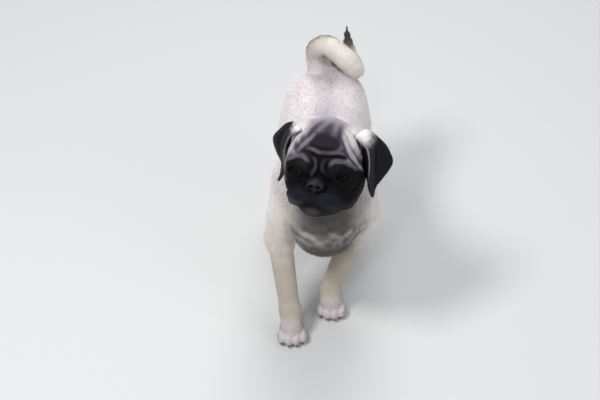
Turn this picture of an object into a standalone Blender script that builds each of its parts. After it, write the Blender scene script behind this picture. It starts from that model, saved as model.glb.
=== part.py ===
"""A life-size fawn pug puppy, caught in mid-walk with its head up and its tail curled over the left hip.

Metres, +Z up. The puppy faces -Y and its left side is +X. The flesh is made of balls and limbs that melt
into each other: a closed skin is drawn over them, settled on their smooth blend, thinned out and then
parted with planes and simple solids into the named pieces, which keep a small gap between them.
"""

import math

import bmesh
import bpy
import numpy as np
from mathutils import Euler, Matrix, Vector

# Driving sizes of the puppy
CHEST_HALF_WIDTH = 0.0550
RUMP_HALF_WIDTH = 0.0480
CHEST_CENTRE = Vector((0, 0.038, 0.182))
RUMP_CENTRE = Vector((0.0035, 0.188, 0.171))
HEAD_CENTRE = Vector((-0.0017, -0.012, 0.260))
HEAD_PITCH_UP = 20
HEAD_YAW_RIGHT = 12
HEAD_ROLL_LEFT_DOWN = 1
EYE_CENTRE = Vector((0.0255, -0.0275, 0.0050))
EYE_RADIUS = 0.0092
NOSE_CENTRE = Vector((0, -0.0460, -0.0040))
EAR_THICKNESS = 0.0022
GAP = 0.0003

# Places where the body is parted
NECK_PLANE = (Vector((0, 0.0200, 0.2220)), Vector((0, 0.50, -0.80)))
SKULL_PLANE = (Vector((0, 0.0080, 0.2400)), Vector((0, 0.62, -0.78)))
CHEST_PLANE = (Vector((0, 0.0960, 0)), Vector((0, 1, 0)))
RUMP_PLANE = (Vector((0, 0.1480, 0)), Vector((0, 1, 0)))
LEG_TOP = 0.1160
HIND_LEG_TOP = 0.1000
PAW_TOP = 0.0300

# The part's origin is on the floor under the middle of the puppy.
ORIGIN = Vector((0.0021, 0.0891, 0.0))

# Detail of the surface
FACE_VOXEL = 0.0014
BODY_VOXEL = 0.0030
PAW_VOXEL = 0.0014
TAIL_VOXEL = 0.0020


def clear_scene():
    for item in list(bpy.data.objects):
        bpy.data.objects.remove(item)


class Ball:
    """An ellipsoid with its own turn. A hollow one is taken out of what was put down before it."""

    def __init__(self, centre, radii, blend=0.012, turn=(0, 0, 0), hollow=False):
        self.centre = Vector(centre)
        self.radii = Vector(radii)
        self.turn = Euler([math.radians(a) for a in turn]).to_matrix()
        self.blend = blend
        self.hollow = hollow

    def placed(self, frame):
        copy = Ball(frame @ self.centre, self.radii, self.blend, hollow=self.hollow)
        copy.turn = frame.to_3x3() @ self.turn
        return copy

    def mirrored(self):
        flip = Matrix.Diagonal((-1, 1, 1))
        copy = Ball(flip @ self.centre, self.radii, self.blend, hollow=self.hollow)
        copy.turn = flip @ self.turn @ flip
        return copy

    def reach(self):
        return [(self.centre, max(self.radii))]

    def measured(self, points):
        """Each point's distance from the surface, and the way straight out of it."""
        turn = np.array(self.turn)
        local = (points - np.array(self.centre)) @ turn
        near = np.linalg.norm(local / np.array(self.radii), axis=1)
        out = local / np.array(self.radii) ** 2
        steep = np.maximum(np.linalg.norm(out, axis=1), 1e-9)
        return near * (near - 1) / steep, out @ turn.T / steep[:, None]

    def beads(self):
        return [Matrix.Translation(self.centre) @ self.turn.to_4x4() @ Matrix.Diagonal((*self.radii, 1))]


class Limb:
    """A tapered rod with round ends."""

    hollow = False

    def __init__(self, start, end, start_radius, end_radius, blend=0.010):
        self.start = Vector(start)
        self.end = Vector(end)
        self.start_radius = start_radius
        self.end_radius = end_radius
        self.blend = blend

    def placed(self, frame):
        ends = (frame @ self.start, frame @ self.end)
        return Limb(*ends, self.start_radius, self.end_radius, self.blend)

    def mirrored(self):
        return self.placed(Matrix.Diagonal((-1, 1, 1)))

    def reach(self):
        return [(self.start, self.start_radius), (self.end, self.end_radius)]

    def measured(self, points):
        """Each point's distance from the surface, and the way straight out of it."""
        start = np.array(self.start)
        along = np.array(self.end) - start
        share = np.clip((points - start) @ along / (along @ along), 0, 1)
        off = points - start - share[:, None] * along
        far = np.maximum(np.linalg.norm(off, axis=1), 1e-9)
        radius = self.start_radius + share * (self.end_radius - self.start_radius)
        return far - radius, off / far[:, None]

    def beads(self):
        length = (self.end - self.start).length
        steps = 1 + round(2 * length / min(self.start_radius, self.end_radius))
        places = []
        for n in range(steps + 1):
            radius = self.start_radius + n / steps * (self.end_radius - self.start_radius)
            places.append(Matrix.Translation(self.start.lerp(self.end, n / steps)) @ Matrix.Scale(radius, 4))
        return places


def both_sides(shapes):
    return [twin for shape in shapes for twin in (shape, shape.mirrored())]


def chain(points, radii, blend):
    """Limbs end to end through the points."""
    return [Limb(points[n], points[n + 1], radii[n], radii[n + 1], blend) for n in range(len(points) - 1)]


def smooth_through(points, steps):
    """Points on one smooth curve through the given ones."""
    points = [Vector(p) for p in points]
    ends = [points[0] * 2 - points[1], *points, points[-1] * 2 - points[-2]]
    out = []
    for n in range(1, len(ends) - 2):
        before, start, end, after = ends[n - 1 : n + 3]
        for step in range(steps):
            t = step / steps
            linear = (end - before) * t
            square = (2 * before - 5 * start + 4 * end - after) * t**2
            cube = (3 * start - before - 3 * end + after) * t**3
            out.append(0.5 * (2 * start + linear + square + cube))
    return [*out, points[-1]]


def head_frame():
    turns = (-HEAD_PITCH_UP, HEAD_ROLL_LEFT_DOWN, -HEAD_YAW_RIGHT)
    turn = Euler([math.radians(a) for a in turns], "YXZ")
    return Matrix.Translation(HEAD_CENTRE) @ turn.to_matrix().to_4x4()


HEAD = head_frame()
TO_HEAD = np.array(HEAD.inverted())


def in_head(points):
    """The points in the head's own frame, where the face looks along -Y."""
    return points @ TO_HEAD[:3, :3].T + TO_HEAD[:3, 3]


def trunk_shapes():
    chest = CHEST_CENTRE
    rump = RUMP_CENTRE
    middle = chest.lerp(rump, 0.5)
    spine = [
        Ball(chest, (CHEST_HALF_WIDTH - 0.004, 0.064, 0.058)),
        Ball(chest + Vector((0, 0.030, 0.001)), (CHEST_HALF_WIDTH, 0.060, 0.057), 0.020),
        Ball(middle + Vector((0, 0.010, -0.002)), (0.050, 0.066, 0.052), 0.020),
        Ball(rump, (RUMP_HALF_WIDTH, 0.050, 0.048), 0.020),
        Ball(rump + Vector((0.004, 0.026, 0.029)), (0.025, 0.024, 0.022), 0.012),
        Ball(chest + Vector((0, -0.004, 0.034)), (0.036, 0.056, 0.028), 0.030),
        Ball(chest + Vector((0, -0.044, -0.018)), (0.036, 0.028, 0.040), 0.025),
    ]
    shoulder = Ball(chest + Vector((0.0405, 0.000, -0.003)), (0.019, 0.034, 0.046), 0.016)
    hips = [
        Ball((0.025, 0.006, 0.008), (0.026, 0.042, 0.038), 0.012),
        Ball((0.029, -0.002, -0.030), (0.020, 0.040, 0.046), 0.016),
    ]
    at_rump = Matrix.Translation(rump)
    return spine + both_sides([shoulder]) + [hip.placed(at_rump) for hip in both_sides(hips)]


def neck_shapes():
    root = CHEST_CENTRE + Vector((0, -0.008, 0.012))
    top = HEAD_CENTRE + Vector((0, 0.018, -0.008))
    return [Limb(root, top, 0.046, 0.038, 0.030)]


# The relief of the face, in millimetres in the head's own frame, where the puppy's left is +X: each line's
# half width and height, and the places that it runs through. Rolls stand out and creases sink in.
FRONT_ROLL = (
    (-24, -33, 32),
    (-16, -38, 35),
    (-8, -40, 35),
    (0, -42, 33),
    (12, -41, 34),
    (23, -35, 34),
    (29, -31, 29),
    (34, -25, 22),
)
BROW_LEFT = (
    (13, -43, 13),
    (14, -44, 20),
    (19, -42, 25),
    (27, -34, 23),
    (33, -29, 18),
    (38, -24, 13),
    (42, -16, 4),
)
BROW_RIGHT = (
    (-11, -44, 15),
    (-13, -44, 21),
    (-19, -39, 25),
    (-28, -37, 23),
    (-34, -33, 18),
    (-38, -28, 12),
    (-41, -20, 4),
)
BRIDGE_LEFT = (
    (11, -40, 27),
    (7, -44, 25),
    (5, -46, 20),
    (6, -46, 13),
    (13, -46, 5),
    (22, -42, -6),
    (29, -30, -22),
)
BRIDGE_RIGHT = (
    (-10, -41, 28),
    (-4, -44, 24),
    (-2, -46, 18),
    (-4, -46, 11),
    (-11, -46, 2),
    (-21, -42, -6),
    (-28, -32, -19),
)
TEMPLE_ROLLS = (
    ((18, -4, 48), (21, -10, 44), (26, -18, 38), (31, -22, 30), (37, -19, 20), (42, -12, 10), (44, -4, 0)),
    ((22, 1, 48), (26, -4, 46), (32, -9, 39), (37, -8, 30), (41, -1, 19), (43, 6, 10)),
    ((-8, -14, 48), (-11, -21, 44), (-16, -28, 39), (-25, -32, 28), (-31, -31, 21)),
    ((-18, -4, 48), (-22, -9, 45), (-27, -13, 40), (-34, -15, 30), (-38, -18, 19), (-40, -20, 12)),
)
TEMPLE_CREASES = (
    ((19, -15, 43), (21, -19, 41), (26, -25, 34), (32, -25, 24), (39, -18, 15), (41, -13, 8)),
    ((23, -6, 45), (26, -10, 42), (31, -14, 34), (37, -13, 25), (41, -8, 16), (43, -3, 9)),
    ((-15, -12, 47), (-17, -18, 44), (-21, -21, 40), (-29, -25, 31), (-35, -26, 22)),
)
EAR_CREASES = (
    ((30, -3, 46), (33, -5, 43), (36, -6, 39), (38, -5, 33), (39, -2, 26), (40, -6, 18)),
    ((-25, -8, 44), (-29, -11, 40), (-34, -10, 35), (-37, -9, 26), (-39, -13, 19)),
)
ROLLS = (
    (4.2, 3.2, FRONT_ROLL),
    (4.6, 3.0, BROW_LEFT),
    (4.6, 3.0, BROW_RIGHT),
    (4.4, 3.2, BRIDGE_LEFT),
    (4.4, 3.2, BRIDGE_RIGHT),
    *((3.8, 2.0, line) for line in TEMPLE_ROLLS),
)
TWIN_ROLLS = (
    (3.4, 1.3, ((17, -44, -3), (25, -41, -7), (33, -33, -7), (39, -23, -3))),
    (7.0, 2.8, ((9, -50, -10), (16, -50, -13), (23, -46, -17), (28, -38, -22), (29, -30, -29))),
    (4.8, 2.0, ((4, -57, -19), (11, -56, -24), (18, -51, -28), (25, -43, -28), (29, -34, -29))),
    (2.2, 0.9, ((16, -38, 10), (20, -41, 13), (26, -40, 15), (32, -36, 13), (36, -31, 8))),
    (1.8, 0.6, ((17, -39, 0), (22, -42, -3), (28, -41, -4), (34, -36, -2))),
)
FRONT_CREASE = ((-17, -39, 31), (-7, -43, 29), (1, -43, 28), (14, -40, 29), (26, -33, 27), (32, -27, 22))
UPPER_CREASE = ((-16, -36, 40), (-4, -39, 40), (6, -40, 39), (20, -36, 40))
CREASES = (
    (2.4, 2.2, FRONT_CREASE),
    (2.8, 1.4, UPPER_CREASE),
    (2.6, 2.8, ((2, -44, 29), (1, -46, 22), (1, -47, 14), (0, -46, 6))),
    (2.1, 2.2, ((13, -44, 8), (10, -44, 16), (12, -42, 23))),
    (2.1, 2.2, ((-11, -45, 8), (-8, -45, 16), (-9, -43, 24))),
    (1.3, 1.9, ((0, -53, -9), (0, -54, -14), (0, -56, -23))),
    *((2.2, 1.6, line) for line in TEMPLE_CREASES),
    *((3.2, 2.4, line) for line in EAR_CREASES),
)
MOUTH_LINE = ((0, -56, -23), (6, -55, -26), (13, -53, -31), (20, -48, -33), (26, -41, -33), (29, -32, -33))
TWIN_CREASES = (
    (3.4, 1.6, ((8, -47, -4), (14, -48, -8), (21, -45, -12), (28, -37, -18), (31, -28, -27))),
    (2.8, 2.0, ((27, -38, -7), (33, -30, -12), (36, -22, -22), (35, -14, -32))),
    (2.3, 3.8, MOUTH_LINE),
    (1.6, 0.8, ((16, -40, 13), (22, -41, 17), (29, -38, 17), (36, -31, 12))),
)


def in_metres(points):
    return [Vector(point) / 1000 for point in points]


def ramp(value, low, high):
    """From 0 at low to 1 at high, with soft ends."""
    share = np.clip((value - low) / (high - low), 0, 1)
    return share * share * (3 - 2 * share)


def near_line(points, line):
    """Each point's distance from a line of places, and how far along the line its nearest place is."""
    line = np.array(line)
    best = np.full(len(points), 1e9)
    along = np.zeros(len(points))
    for n in range(len(line) - 1):
        step = line[n + 1] - line[n]
        share = np.clip((points - line[n]) @ step / (step @ step), 0, 1)
        far = np.linalg.norm(points - line[n] - share[:, None] * step, axis=1)
        closer = far < best
        best[closer] = far[closer]
        along[closer] = (n + share[closer]) / (len(line) - 1)
    return best, along


def head_shapes():
    """In the head's own frame the face looks along -Y."""
    eye = EYE_CENTRE
    nose = NOSE_CENTRE
    skull = [
        Ball((0, 0.010, 0.012), (0.0415, 0.046, 0.0415)),
        Ball((0, -0.018, 0.016), (0.033, 0.024, 0.025), 0.015),
        Ball((0, -0.028, -0.022), (0.026, 0.020, 0.018), 0.010),
        Ball((0, -0.006, -0.026), (0.032, 0.034, 0.020), 0.015),
        Ball((0.001, -0.034, -0.0358), (0.0165, 0.018, 0.009), 0.008),
        Ball((0.0310, -0.015, -0.0265), (0.0125, 0.021, 0.0125), 0.010),
        Ball((0.0180, -0.035, -0.0310), (0.0115, 0.0130, 0.0095), 0.006),
        Ball((0.0400, -0.008, -0.008), (0.0095, 0.018, 0.016), 0.010),
    ]
    cheeks = [
        Ball((0.0300, 0.010, 0.036), (0.014, 0.017, 0.0130), 0.010),
        Ball((0.0270, -0.008, -0.006), (0.0150, 0.026, 0.025), 0.012),
        Ball((0.0120, -0.039, -0.0215), (0.0135, 0.0150, 0.0125), 0.006),
        Ball((0.0205, -0.0355, -0.0235), (0.0105, 0.0145, 0.0115), 0.004),
        Ball(eye + Vector((0, -0.0005, 0)), Vector((1, 1, 1)) * (EYE_RADIUS + 0.0024), 0.005),
    ]
    snout = [
        Ball(nose + Vector((0, 0.006, 0)), (0.0085, 0.010, 0.0075), 0.004),
        Ball(nose, (0.0080, 0.0060, 0.0060), 0.003),
    ]
    wings = [Ball(nose + Vector((0.0058, -0.0004, -0.0012)), (0.0040, 0.0055, 0.0043), 0.0018)]
    nostrils = [
        Ball(nose + Vector((0.0044, -0.0055, -0.0012)), (0.0021, 0.0040, 0.0025), 0.0010, (0, 25, 0), True)
    ]
    shapes = skull + both_sides(cheeks) + snout + both_sides(wings) + both_sides(nostrils)
    return [shape.placed(HEAD) for shape in shapes]


def opening_of_eye(sign):
    """What the lids leave open, as a ball that is cut out of the skin."""
    ball = Ball(EYE_CENTRE + Vector((0.0020, -0.0092, -0.0004)), (0.0074, 0.0100, 0.0056), turn=(-4, 6, 14))
    return (ball if sign > 0 else ball.mirrored()).placed(HEAD)


def on_head_surface(line):
    """The line's places as a smooth curve on the head's plain surface, in the head's own frame."""
    places = np.array([HEAD @ p for p in smooth_through(in_metres(line), 3)])
    return in_head(settle(places, head_shapes(), rounds=8))


def relief_lines():
    """Every roll and crease as its half width, its height and its places."""
    lines = [(*size, line) for *size, line in ROLLS]
    lines += [(width, -depth, line) for width, depth, line in CREASES]
    for sign, group in ((1, TWIN_ROLLS), (-1, TWIN_CREASES)):
        for width, height, line in group:
            mirrored = tuple((-x, y, z) for x, y, z in line)
            lines += [(width, sign * height, line), (width, sign * height, mirrored)]
    return [(width / 1000, height / 1000, on_head_surface(line)) for width, height, line in lines]


def relief(points, lines):
    """How far the face stands out of the plain head at each place."""
    out = np.zeros(len(points))
    local = in_head(points)
    face = np.flatnonzero((local[:, 1] < 0.010) & (np.linalg.norm(local, axis=1) < 0.085))
    local = local[face]
    up = np.zeros(len(face))
    down = np.zeros(len(face))
    for width, height, line in lines:
        low, high = line.min(axis=0) - width, line.max(axis=0) + width
        near = np.flatnonzero(((local > low) & (local < high)).all(axis=1))
        off, along = near_line(local[near], line)
        ends = ramp(along, 0.0, 0.22) * (1 - ramp(along, 0.76, 1.0))
        share = np.clip(1 - (off / width) ** 2, 0, 1)
        if height > 0:
            up[near] = np.maximum(up[near], height * ends * share**1.3)
        else:
            down[near] = np.maximum(down[near], -height * ends * share**2)
    out[face] = up - down
    return out


def paw_shapes(toe, heading):
    """A paw with its claws: toe is the tip of the middle toes on the floor, heading its turn about Z."""
    frame = Matrix.Translation(toe) @ Matrix.Rotation(math.radians(heading), 4, "Z")
    shapes = [
        Ball((0, 0.021, 0.0125), (0.0150, 0.016, 0.013), 0.006),
        Ball((0, 0.025, 0.0045), (0.0100, 0.010, 0.006), 0.004),
    ]
    for across, back, width in ((0.0046, 0.0090, 0.0060), (0.0130, 0.0135, 0.0056)):
        for side in (-1, 1):
            toe_top = Ball((side * across, back, 0.0081), (width, 0.0100, 0.0088), 0.0022)
            claw_root = Vector((side * across, back - 0.0085, 0.0082))
            claw_tip = claw_root + Vector((side * 0.0004, -0.0042, -0.0052))
            shapes += [toe_top, Limb(claw_root, claw_tip, 0.0017, 0.0008, 0.0012)]
    return [shape.placed(frame) for shape in shapes]


FORE_LEGS = {
    "right": {
        "shoulder": (-0.045, 0.024, 0.160),
        "elbow": (-0.0525, 0.022, 0.120),
        "wrist": (-0.0400, -0.014, 0.036),
        "toe": (-0.037, -0.045, 0.0),
        "heading": 3,
    },
    "left": {
        "shoulder": (0.044, 0.026, 0.160),
        "elbow": (0.036, 0.034, 0.116),
        "wrist": (0.009, 0.026, 0.034),
        "toe": (0.0085, -0.001, 0.0),
        "heading": -6,
    },
}

HIND_LEGS = {
    "right": {
        "hip": (-0.022, 0.190, 0.152),
        "stifle": (-0.034, 0.168, 0.106),
        "hock": (-0.034, 0.238, 0.060),
        "toe": (-0.034, 0.206, 0.0),
        "heading": 4,
    },
    "left": {
        "hip": (0.026, 0.180, 0.152),
        "stifle": (0.036, 0.148, 0.104),
        "hock": (0.035, 0.194, 0.054),
        "toe": (0.033, 0.150, 0.0),
        "heading": -4,
    },
}


def fore_leg_shapes(leg):
    wrist = Vector(leg["wrist"])
    knuckle = Vector(leg["toe"]).lerp(wrist, 0.5) + Vector((0, 0.004, 0.004))
    return [
        Limb(leg["shoulder"], leg["elbow"], 0.0220, 0.0175, 0.016),
        Limb(leg["elbow"], wrist, 0.0155, 0.0126, 0.010),
        Limb(wrist, knuckle, 0.0134, 0.0126, 0.006),
        *paw_shapes(leg["toe"], leg["heading"]),
    ]


def hind_leg_shapes(leg):
    hock = Vector(leg["hock"])
    knuckle = Vector(leg["toe"]).lerp(hock, 0.42) + Vector((0, 0.008, -0.006))
    return [
        Limb(leg["hip"], leg["stifle"], 0.0310, 0.0230, 0.016),
        Limb(leg["stifle"], hock, 0.0215, 0.0130, 0.010),
        Limb(hock, knuckle, 0.0125, 0.0125, 0.006),
        *paw_shapes(leg["toe"], leg["heading"]),
    ]


def leg_shapes():
    fore = [shape for leg in FORE_LEGS.values() for shape in fore_leg_shapes(leg)]
    hind = [shape for leg in HIND_LEGS.values() for shape in hind_leg_shapes(leg)]
    return fore + hind


# The tail's curl as points on its middle line, each with the tail's radius there
TAIL = (
    ((0.000, 0.214, 0.196), 0.0165),
    ((-0.007, 0.228, 0.225), 0.0132),
    ((-0.0065, 0.224, 0.2435), 0.0128),
    ((0.004, 0.216, 0.2550), 0.0126),
    ((0.016, 0.211, 0.2505), 0.0126),
    ((0.027, 0.209, 0.2400), 0.0126),
    ((0.0365, 0.211, 0.2265), 0.0118),
    ((0.040, 0.222, 0.2165), 0.0100),
    ((0.036, 0.236, 0.2215), 0.0082),
    ((0.031, 0.241, 0.239), 0.0060),
    ((0.0285, 0.241, 0.264), 0.0016),
)


def tail_shapes():
    """The curl, and the fur that fills it."""
    points = smooth_through([point for point, _ in TAIL], 2)
    places = np.linspace(0, len(TAIL) - 1, len(points))
    radii = np.interp(places, range(len(TAIL)), [radius for _, radius in TAIL])
    inside = Ball((0.0150, 0.2235, 0.2315), (0.0150, 0.0105, 0.0165), 0.004)
    return [*chain(points, radii, 0.004), inside]


def shapes_near(points, shapes, margin=0.010):
    """Each shape with the numbers of the points that it may reach."""
    found = []
    for shape in shapes:
        pad = shape.blend + margin
        low = np.min([np.array(c) - r - pad for c, r in shape.reach()], axis=0)
        high = np.max([np.array(c) + r + pad for c, r in shape.reach()], axis=0)
        inside = (points[:, 1] > low[1]) & (points[:, 1] < high[1])
        for axis in (0, 2):
            inside &= (points[:, axis] > low[axis]) & (points[:, axis] < high[axis])
        near = np.flatnonzero(inside)
        if len(near):
            found.append((shape, near))
    return found


def blended(points, nearby):
    """Each point's distance from the smooth blend of the shapes, negative inside, and the way out of it."""
    found = np.full(len(points), 1.0)
    out = np.zeros_like(points)
    for shape, near in nearby:
        mine, way = shape.measured(points[near])
        old = found[near]
        sign = -1 if shape.hollow else 1
        part = np.clip(0.5 + 0.5 * (sign * old - mine) / shape.blend, 0, 1)
        found[near] = sign * (sign * old + (mine - sign * old) * part - shape.blend * part * (1 - part))
        out[near] += (sign * way - out[near]) * part[:, None]
    return found, out


def settle(points, shapes, height=None, rounds=4):
    """Moves the points onto the blend's surface, or to a height over it."""
    points = points.copy()
    nearby = shapes_near(points, shapes)
    raised = 0 if height is None else height(points)
    for _ in range(rounds):
        here, slope = blended(points, nearby)
        steep = np.maximum((slope**2).sum(axis=1), 0.25)
        move = slope * ((here - raised) / steep)[:, None]
        length = np.linalg.norm(move, axis=1)
        points -= move * np.minimum(1, 0.003 / np.maximum(length, 1e-9))[:, None]
    return points


def with_modifier(mesh, kind, **settings):
    """The mesh after one modifier."""
    item = bpy.data.objects.new("work", mesh)
    bpy.context.scene.collection.objects.link(item)
    modifier = item.modifiers.new("work", kind)
    for name, value in settings.items():
        setattr(modifier, name, value)
    graph = bpy.context.evaluated_depsgraph_get()
    made = bpy.data.meshes.new_from_object(item.evaluated_get(graph))
    bpy.data.objects.remove(item)
    return made


def points_of(mesh):
    flat = np.empty(len(mesh.vertices) * 3)
    mesh.vertices.foreach_get("co", flat)
    return flat.reshape(-1, 3)


def beads_mesh(places):
    """One unit ball put at each place."""
    ball = bmesh.new()
    bmesh.ops.create_icosphere(ball, subdivisions=3, radius=1)
    points = np.array([v.co for v in ball.verts])
    faces = np.array([[v.index for v in f.verts] for f in ball.faces])
    ball.free()
    places = [np.array(place) for place in places]
    mesh = bpy.data.meshes.new("beads")
    all_points = np.concatenate([points @ place[:3, :3].T + place[:3, 3] for place in places])
    all_faces = np.concatenate([faces + n * len(points) for n in range(len(places))])
    mesh.from_pydata(all_points.tolist(), [], all_faces.tolist())
    return mesh


def skin_over(cage_shapes, shapes, voxel, height=None, rounds=2):
    """A closed skin over the cage shapes, settled on the blend of all the shapes."""
    solid = [place for shape in cage_shapes if not shape.hollow for place in shape.beads()]
    mesh = with_modifier(beads_mesh(solid), "REMESH", mode="VOXEL", voxel_size=voxel)
    for _ in range(rounds):
        mesh.vertices.foreach_set("co", settle(points_of(mesh), shapes, height).ravel())
        mesh = with_modifier(mesh, "REMESH", mode="VOXEL", voxel_size=voxel)
    mesh.vertices.foreach_set("co", settle(points_of(mesh), shapes, height, 2).ravel())
    return mesh


def thinned(mesh, triangles):
    now = sum(len(face.vertices) - 2 for face in mesh.polygons)
    return with_modifier(mesh, "DECIMATE", ratio=min(1, triangles / now))


def trimmed(mesh, plane, side=1, gap=GAP):
    """The part of the mesh on one side of a plane, with the cut closed and half the gap taken off."""
    point, normal = plane
    normal = side * normal.normalized()
    work = bmesh.new()
    work.from_mesh(mesh)
    bmesh.ops.bisect_plane(
        work,
        geom=[*work.verts, *work.edges, *work.faces],
        plane_co=point + normal * gap / 2,
        plane_no=normal,
        clear_inner=True,
    )
    rim = [edge for edge in work.edges if edge.is_boundary]
    bmesh.ops.triangle_fill(work, edges=rim, use_beauty=True, normal=-normal)
    bmesh.ops.recalc_face_normals(work, faces=work.faces)
    return finished(work)


def finished(work):
    made = bpy.data.meshes.new("work")
    work.to_mesh(made)
    work.free()
    return made


def largest_surface(mesh):
    """The mesh without any loose scraps."""
    work = bmesh.new()
    work.from_mesh(mesh)
    unseen = set(work.verts)
    islands = []
    while unseen:
        front = [unseen.pop()]
        island = set(front)
        while front:
            vert = front.pop()
            beside = {edge.other_vert(vert) for edge in vert.link_edges} - island
            island |= beside
            unseen -= beside
            front += beside
        islands.append(island)
    keep = max(islands, key=volume_of)
    bmesh.ops.delete(work, geom=[vert for vert in work.verts if vert not in keep], context="VERTS")
    return finished(work)


def volume_of(verts):
    faces = {face for vert in verts for face in vert.link_faces}
    total = 0.0
    for face in faces:
        first, *others = [vert.co for vert in face.verts]
        for second, third in zip(others, others[1:]):
            total += first.cross(second).dot(third) / 6
    return total


def boolean(mesh, cutter, operation, solver="EXACT"):
    """The mesh cut by the cutter, or what the two share."""
    tool = bpy.data.objects.new("tool", cutter)
    bpy.context.scene.collection.objects.link(tool)
    made = with_modifier(mesh, "BOOLEAN", operation=operation, object=tool, solver=solver)
    bpy.data.objects.remove(tool)
    return largest_surface(made)


def ball_solid(ball, grow=0.0, sides=16):
    """A ball as a mesh, a little larger or smaller."""
    work = bmesh.new()
    size = Matrix.Diagonal((*(ball.radii + Vector((grow, grow, grow))), 1))
    place = Matrix.Translation(ball.centre) @ ball.turn.to_4x4() @ size
    bmesh.ops.create_uvsphere(work, u_segments=sides, v_segments=sides // 2, radius=1, matrix=place)
    return finished(work)


def parted(mesh, ball):
    """What is outside the ball and what is inside it, with the gap between them."""
    outside = boolean(mesh, ball_solid(ball, GAP / 2), "DIFFERENCE")
    inside = boolean(mesh, ball_solid(ball, -GAP / 2), "INTERSECT")
    return outside, inside


def box_solid(low, high, grow=0.0):
    low = Vector(low) - Vector((grow, grow, grow))
    high = Vector(high) + Vector((grow, grow, grow))
    work = bmesh.new()
    size = Matrix.Diagonal((*(high - low), 1))
    bmesh.ops.create_cube(work, size=1, matrix=Matrix.Translation((low + high) / 2) @ size)
    return finished(work)


def jaw_solid(grow=0.0):
    """What lies under the line of the mouth, back to its corners."""
    line = smooth_through(in_metres(MOUTH_LINE), 2)
    arch = [Vector((point.x, point.z + grow)) for point in line]
    side = Vector((arch[-1].x + 0.012 + grow, arch[-1].y))
    floor = Vector((side.x, -0.080))
    half = [*arch, side, floor]
    outline = half + [Vector((-point.x, point.y)) for point in reversed(half[1:])]
    front = -0.090
    back = -0.0140 + grow
    work = bmesh.new()
    rings = [[work.verts.new((point.x, y, point.y)) for point in outline] for y in (front, back)]
    count = len(outline)
    for n in range(count):
        after = (n + 1) % count
        work.faces.new((rings[0][n], rings[0][after], rings[1][after], rings[1][n]))
    work.faces.new(rings[0])
    work.faces.new(rings[1])
    bmesh.ops.recalc_face_normals(work, faces=work.faces)
    bmesh.ops.transform(work, matrix=HEAD, verts=work.verts)
    return finished(work)


# Each ear as rows from its root to its tip, in millimetres in the head's own frame. A row starts inside the
# cup at the head, turns round the front rim, and runs over the folded strip, its crease and the flap to the
# back edge.
EARS = {
    "left": (
        ((31, 8, 33), (31, -1, 39), (33, 1, 44), (36, 5, 45), (39, 12, 44), (42, 18, 41)),
        ((35, 7, 32), (36, -6, 42), (39, -3, 48), (42, 3, 50), (44, 12, 47), (46, 20, 42)),
        ((37, 8, 27), (43, -8, 38), (46, -5, 46), (49, 2, 48), (51, 11, 44), (55, 20, 37)),
        ((39, 9, 20), (48, -7, 32), (51, -5, 40), (54, 3, 40), (60, 8, 37), (65, 18, 30)),
        ((40, 11, 12), (50, -5, 25), (53, -5, 32), (57, 2, 32), (63, 5, 29), (71, 17, 22)),
        ((43, 10, 4), (52, -5, 16), (55, -6, 21), (58, 0, 20), (66, 2, 18), (75, 14, 14)),
        ((46, 6, -3), (53, -6, 6), (56, -7, 9), (59, -1, 8), (66, 0, 6), (73, 10, 6)),
        ((51, 0, -9), (53, -6, -4), (56, -8, -3), (60, -4, -3), (63, -1, -4), (67, 4, -4)),
        ((53, -4, -14), (54, -6, -14), (56, -7, -14), (58, -6, -14), (60, -5, -13), (62, -4, -12)),
        ((57, -5, -23), (58, -6, -24), (58.6, -6, -24), (59.2, -6, -24), (60, -5.6, -24), (60.6, -5, -23.5)),
    ),
    "right": (
        ((-31, 8, 34), (-28, -8, 42), (-31, -4, 46), (-35, 3, 46), (-38, 12, 44), (-41, 20, 39)),
        ((-34, 7, 31), (-32, -10, 41), (-34, -5, 44), (-37, 3, 44), (-40, 12, 43), (-43, 20, 40)),
        ((-37, 7, 25), (-37, -8, 37), (-40, -4, 40), (-43, 4, 40), (-46, 11, 39), (-50, 20, 37)),
        ((-39, 9, 18), (-41, -6, 32), (-44, -4, 35), (-47, 3, 34), (-52, 8, 32), (-57, 19, 29)),
        ((-41, 11, 12), (-43, -5, 27), (-47, -3, 28), (-50, 3, 27), (-56, 7, 24), (-63, 20, 20)),
        ((-42, 10, 7), (-45, -5, 20), (-48, -4, 20), (-51, 2, 19), (-57, 7, 16), (-62, 19, 12)),
        ((-43, 6, 3), (-45, -5, 12), (-47, -4, 12), (-50, 0, 10), (-53, 4, 8), (-57, 13, 5)),
        ((-43, 1, -1), (-44, -5, 3), (-45, -5, 2), (-46, -3, 1), (-47.5, 0, 0), (-49, 3, -2)),
        ((-43, -2, -6), (-43.5, -5, -6), (-44.5, -5, -6), (-45.5, -4, -6), (-46.5, -3, -7), (-47.6, -1, -8)),
        ((-43.5, -3, -14), (-44, -5, -14), (-45, -5, -14), (-46, -4, -14), (-47, -3, -14), (-48, -2, -15)),
        ((-48, -3, -23), (-48.3, -4, -23), (-48.6, -4, -23), (-49, -4, -23), (-49.5, -4, -23), (-50, -3, -23)),
    ),
}


def ear_mesh(rows):
    """A thin flap through the rows, with its root inside the head."""
    across = [smooth_through(in_metres(row), 3) for row in rows]
    along = [smooth_through([row[n] for row in across], 3) for n in range(len(across[0]))]
    work = bmesh.new()
    grid = [[work.verts.new(point) for point in line] for line in along]
    for one, other in zip(grid, grid[1:]):
        for n in range(len(one) - 1):
            work.faces.new((one[n], one[n + 1], other[n + 1], other[n]))
    bmesh.ops.transform(work, matrix=HEAD, verts=work.verts)
    flap = finished(work)
    flap = with_modifier(flap, "SOLIDIFY", thickness=EAR_THICKNESS, offset=0)
    flap = with_modifier(flap, "REMESH", mode="VOXEL", voxel_size=EAR_THICKNESS / 3)
    flap = with_modifier(flap, "SMOOTH", factor=0.5, iterations=3)
    return thinned(flap, 620)


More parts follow.
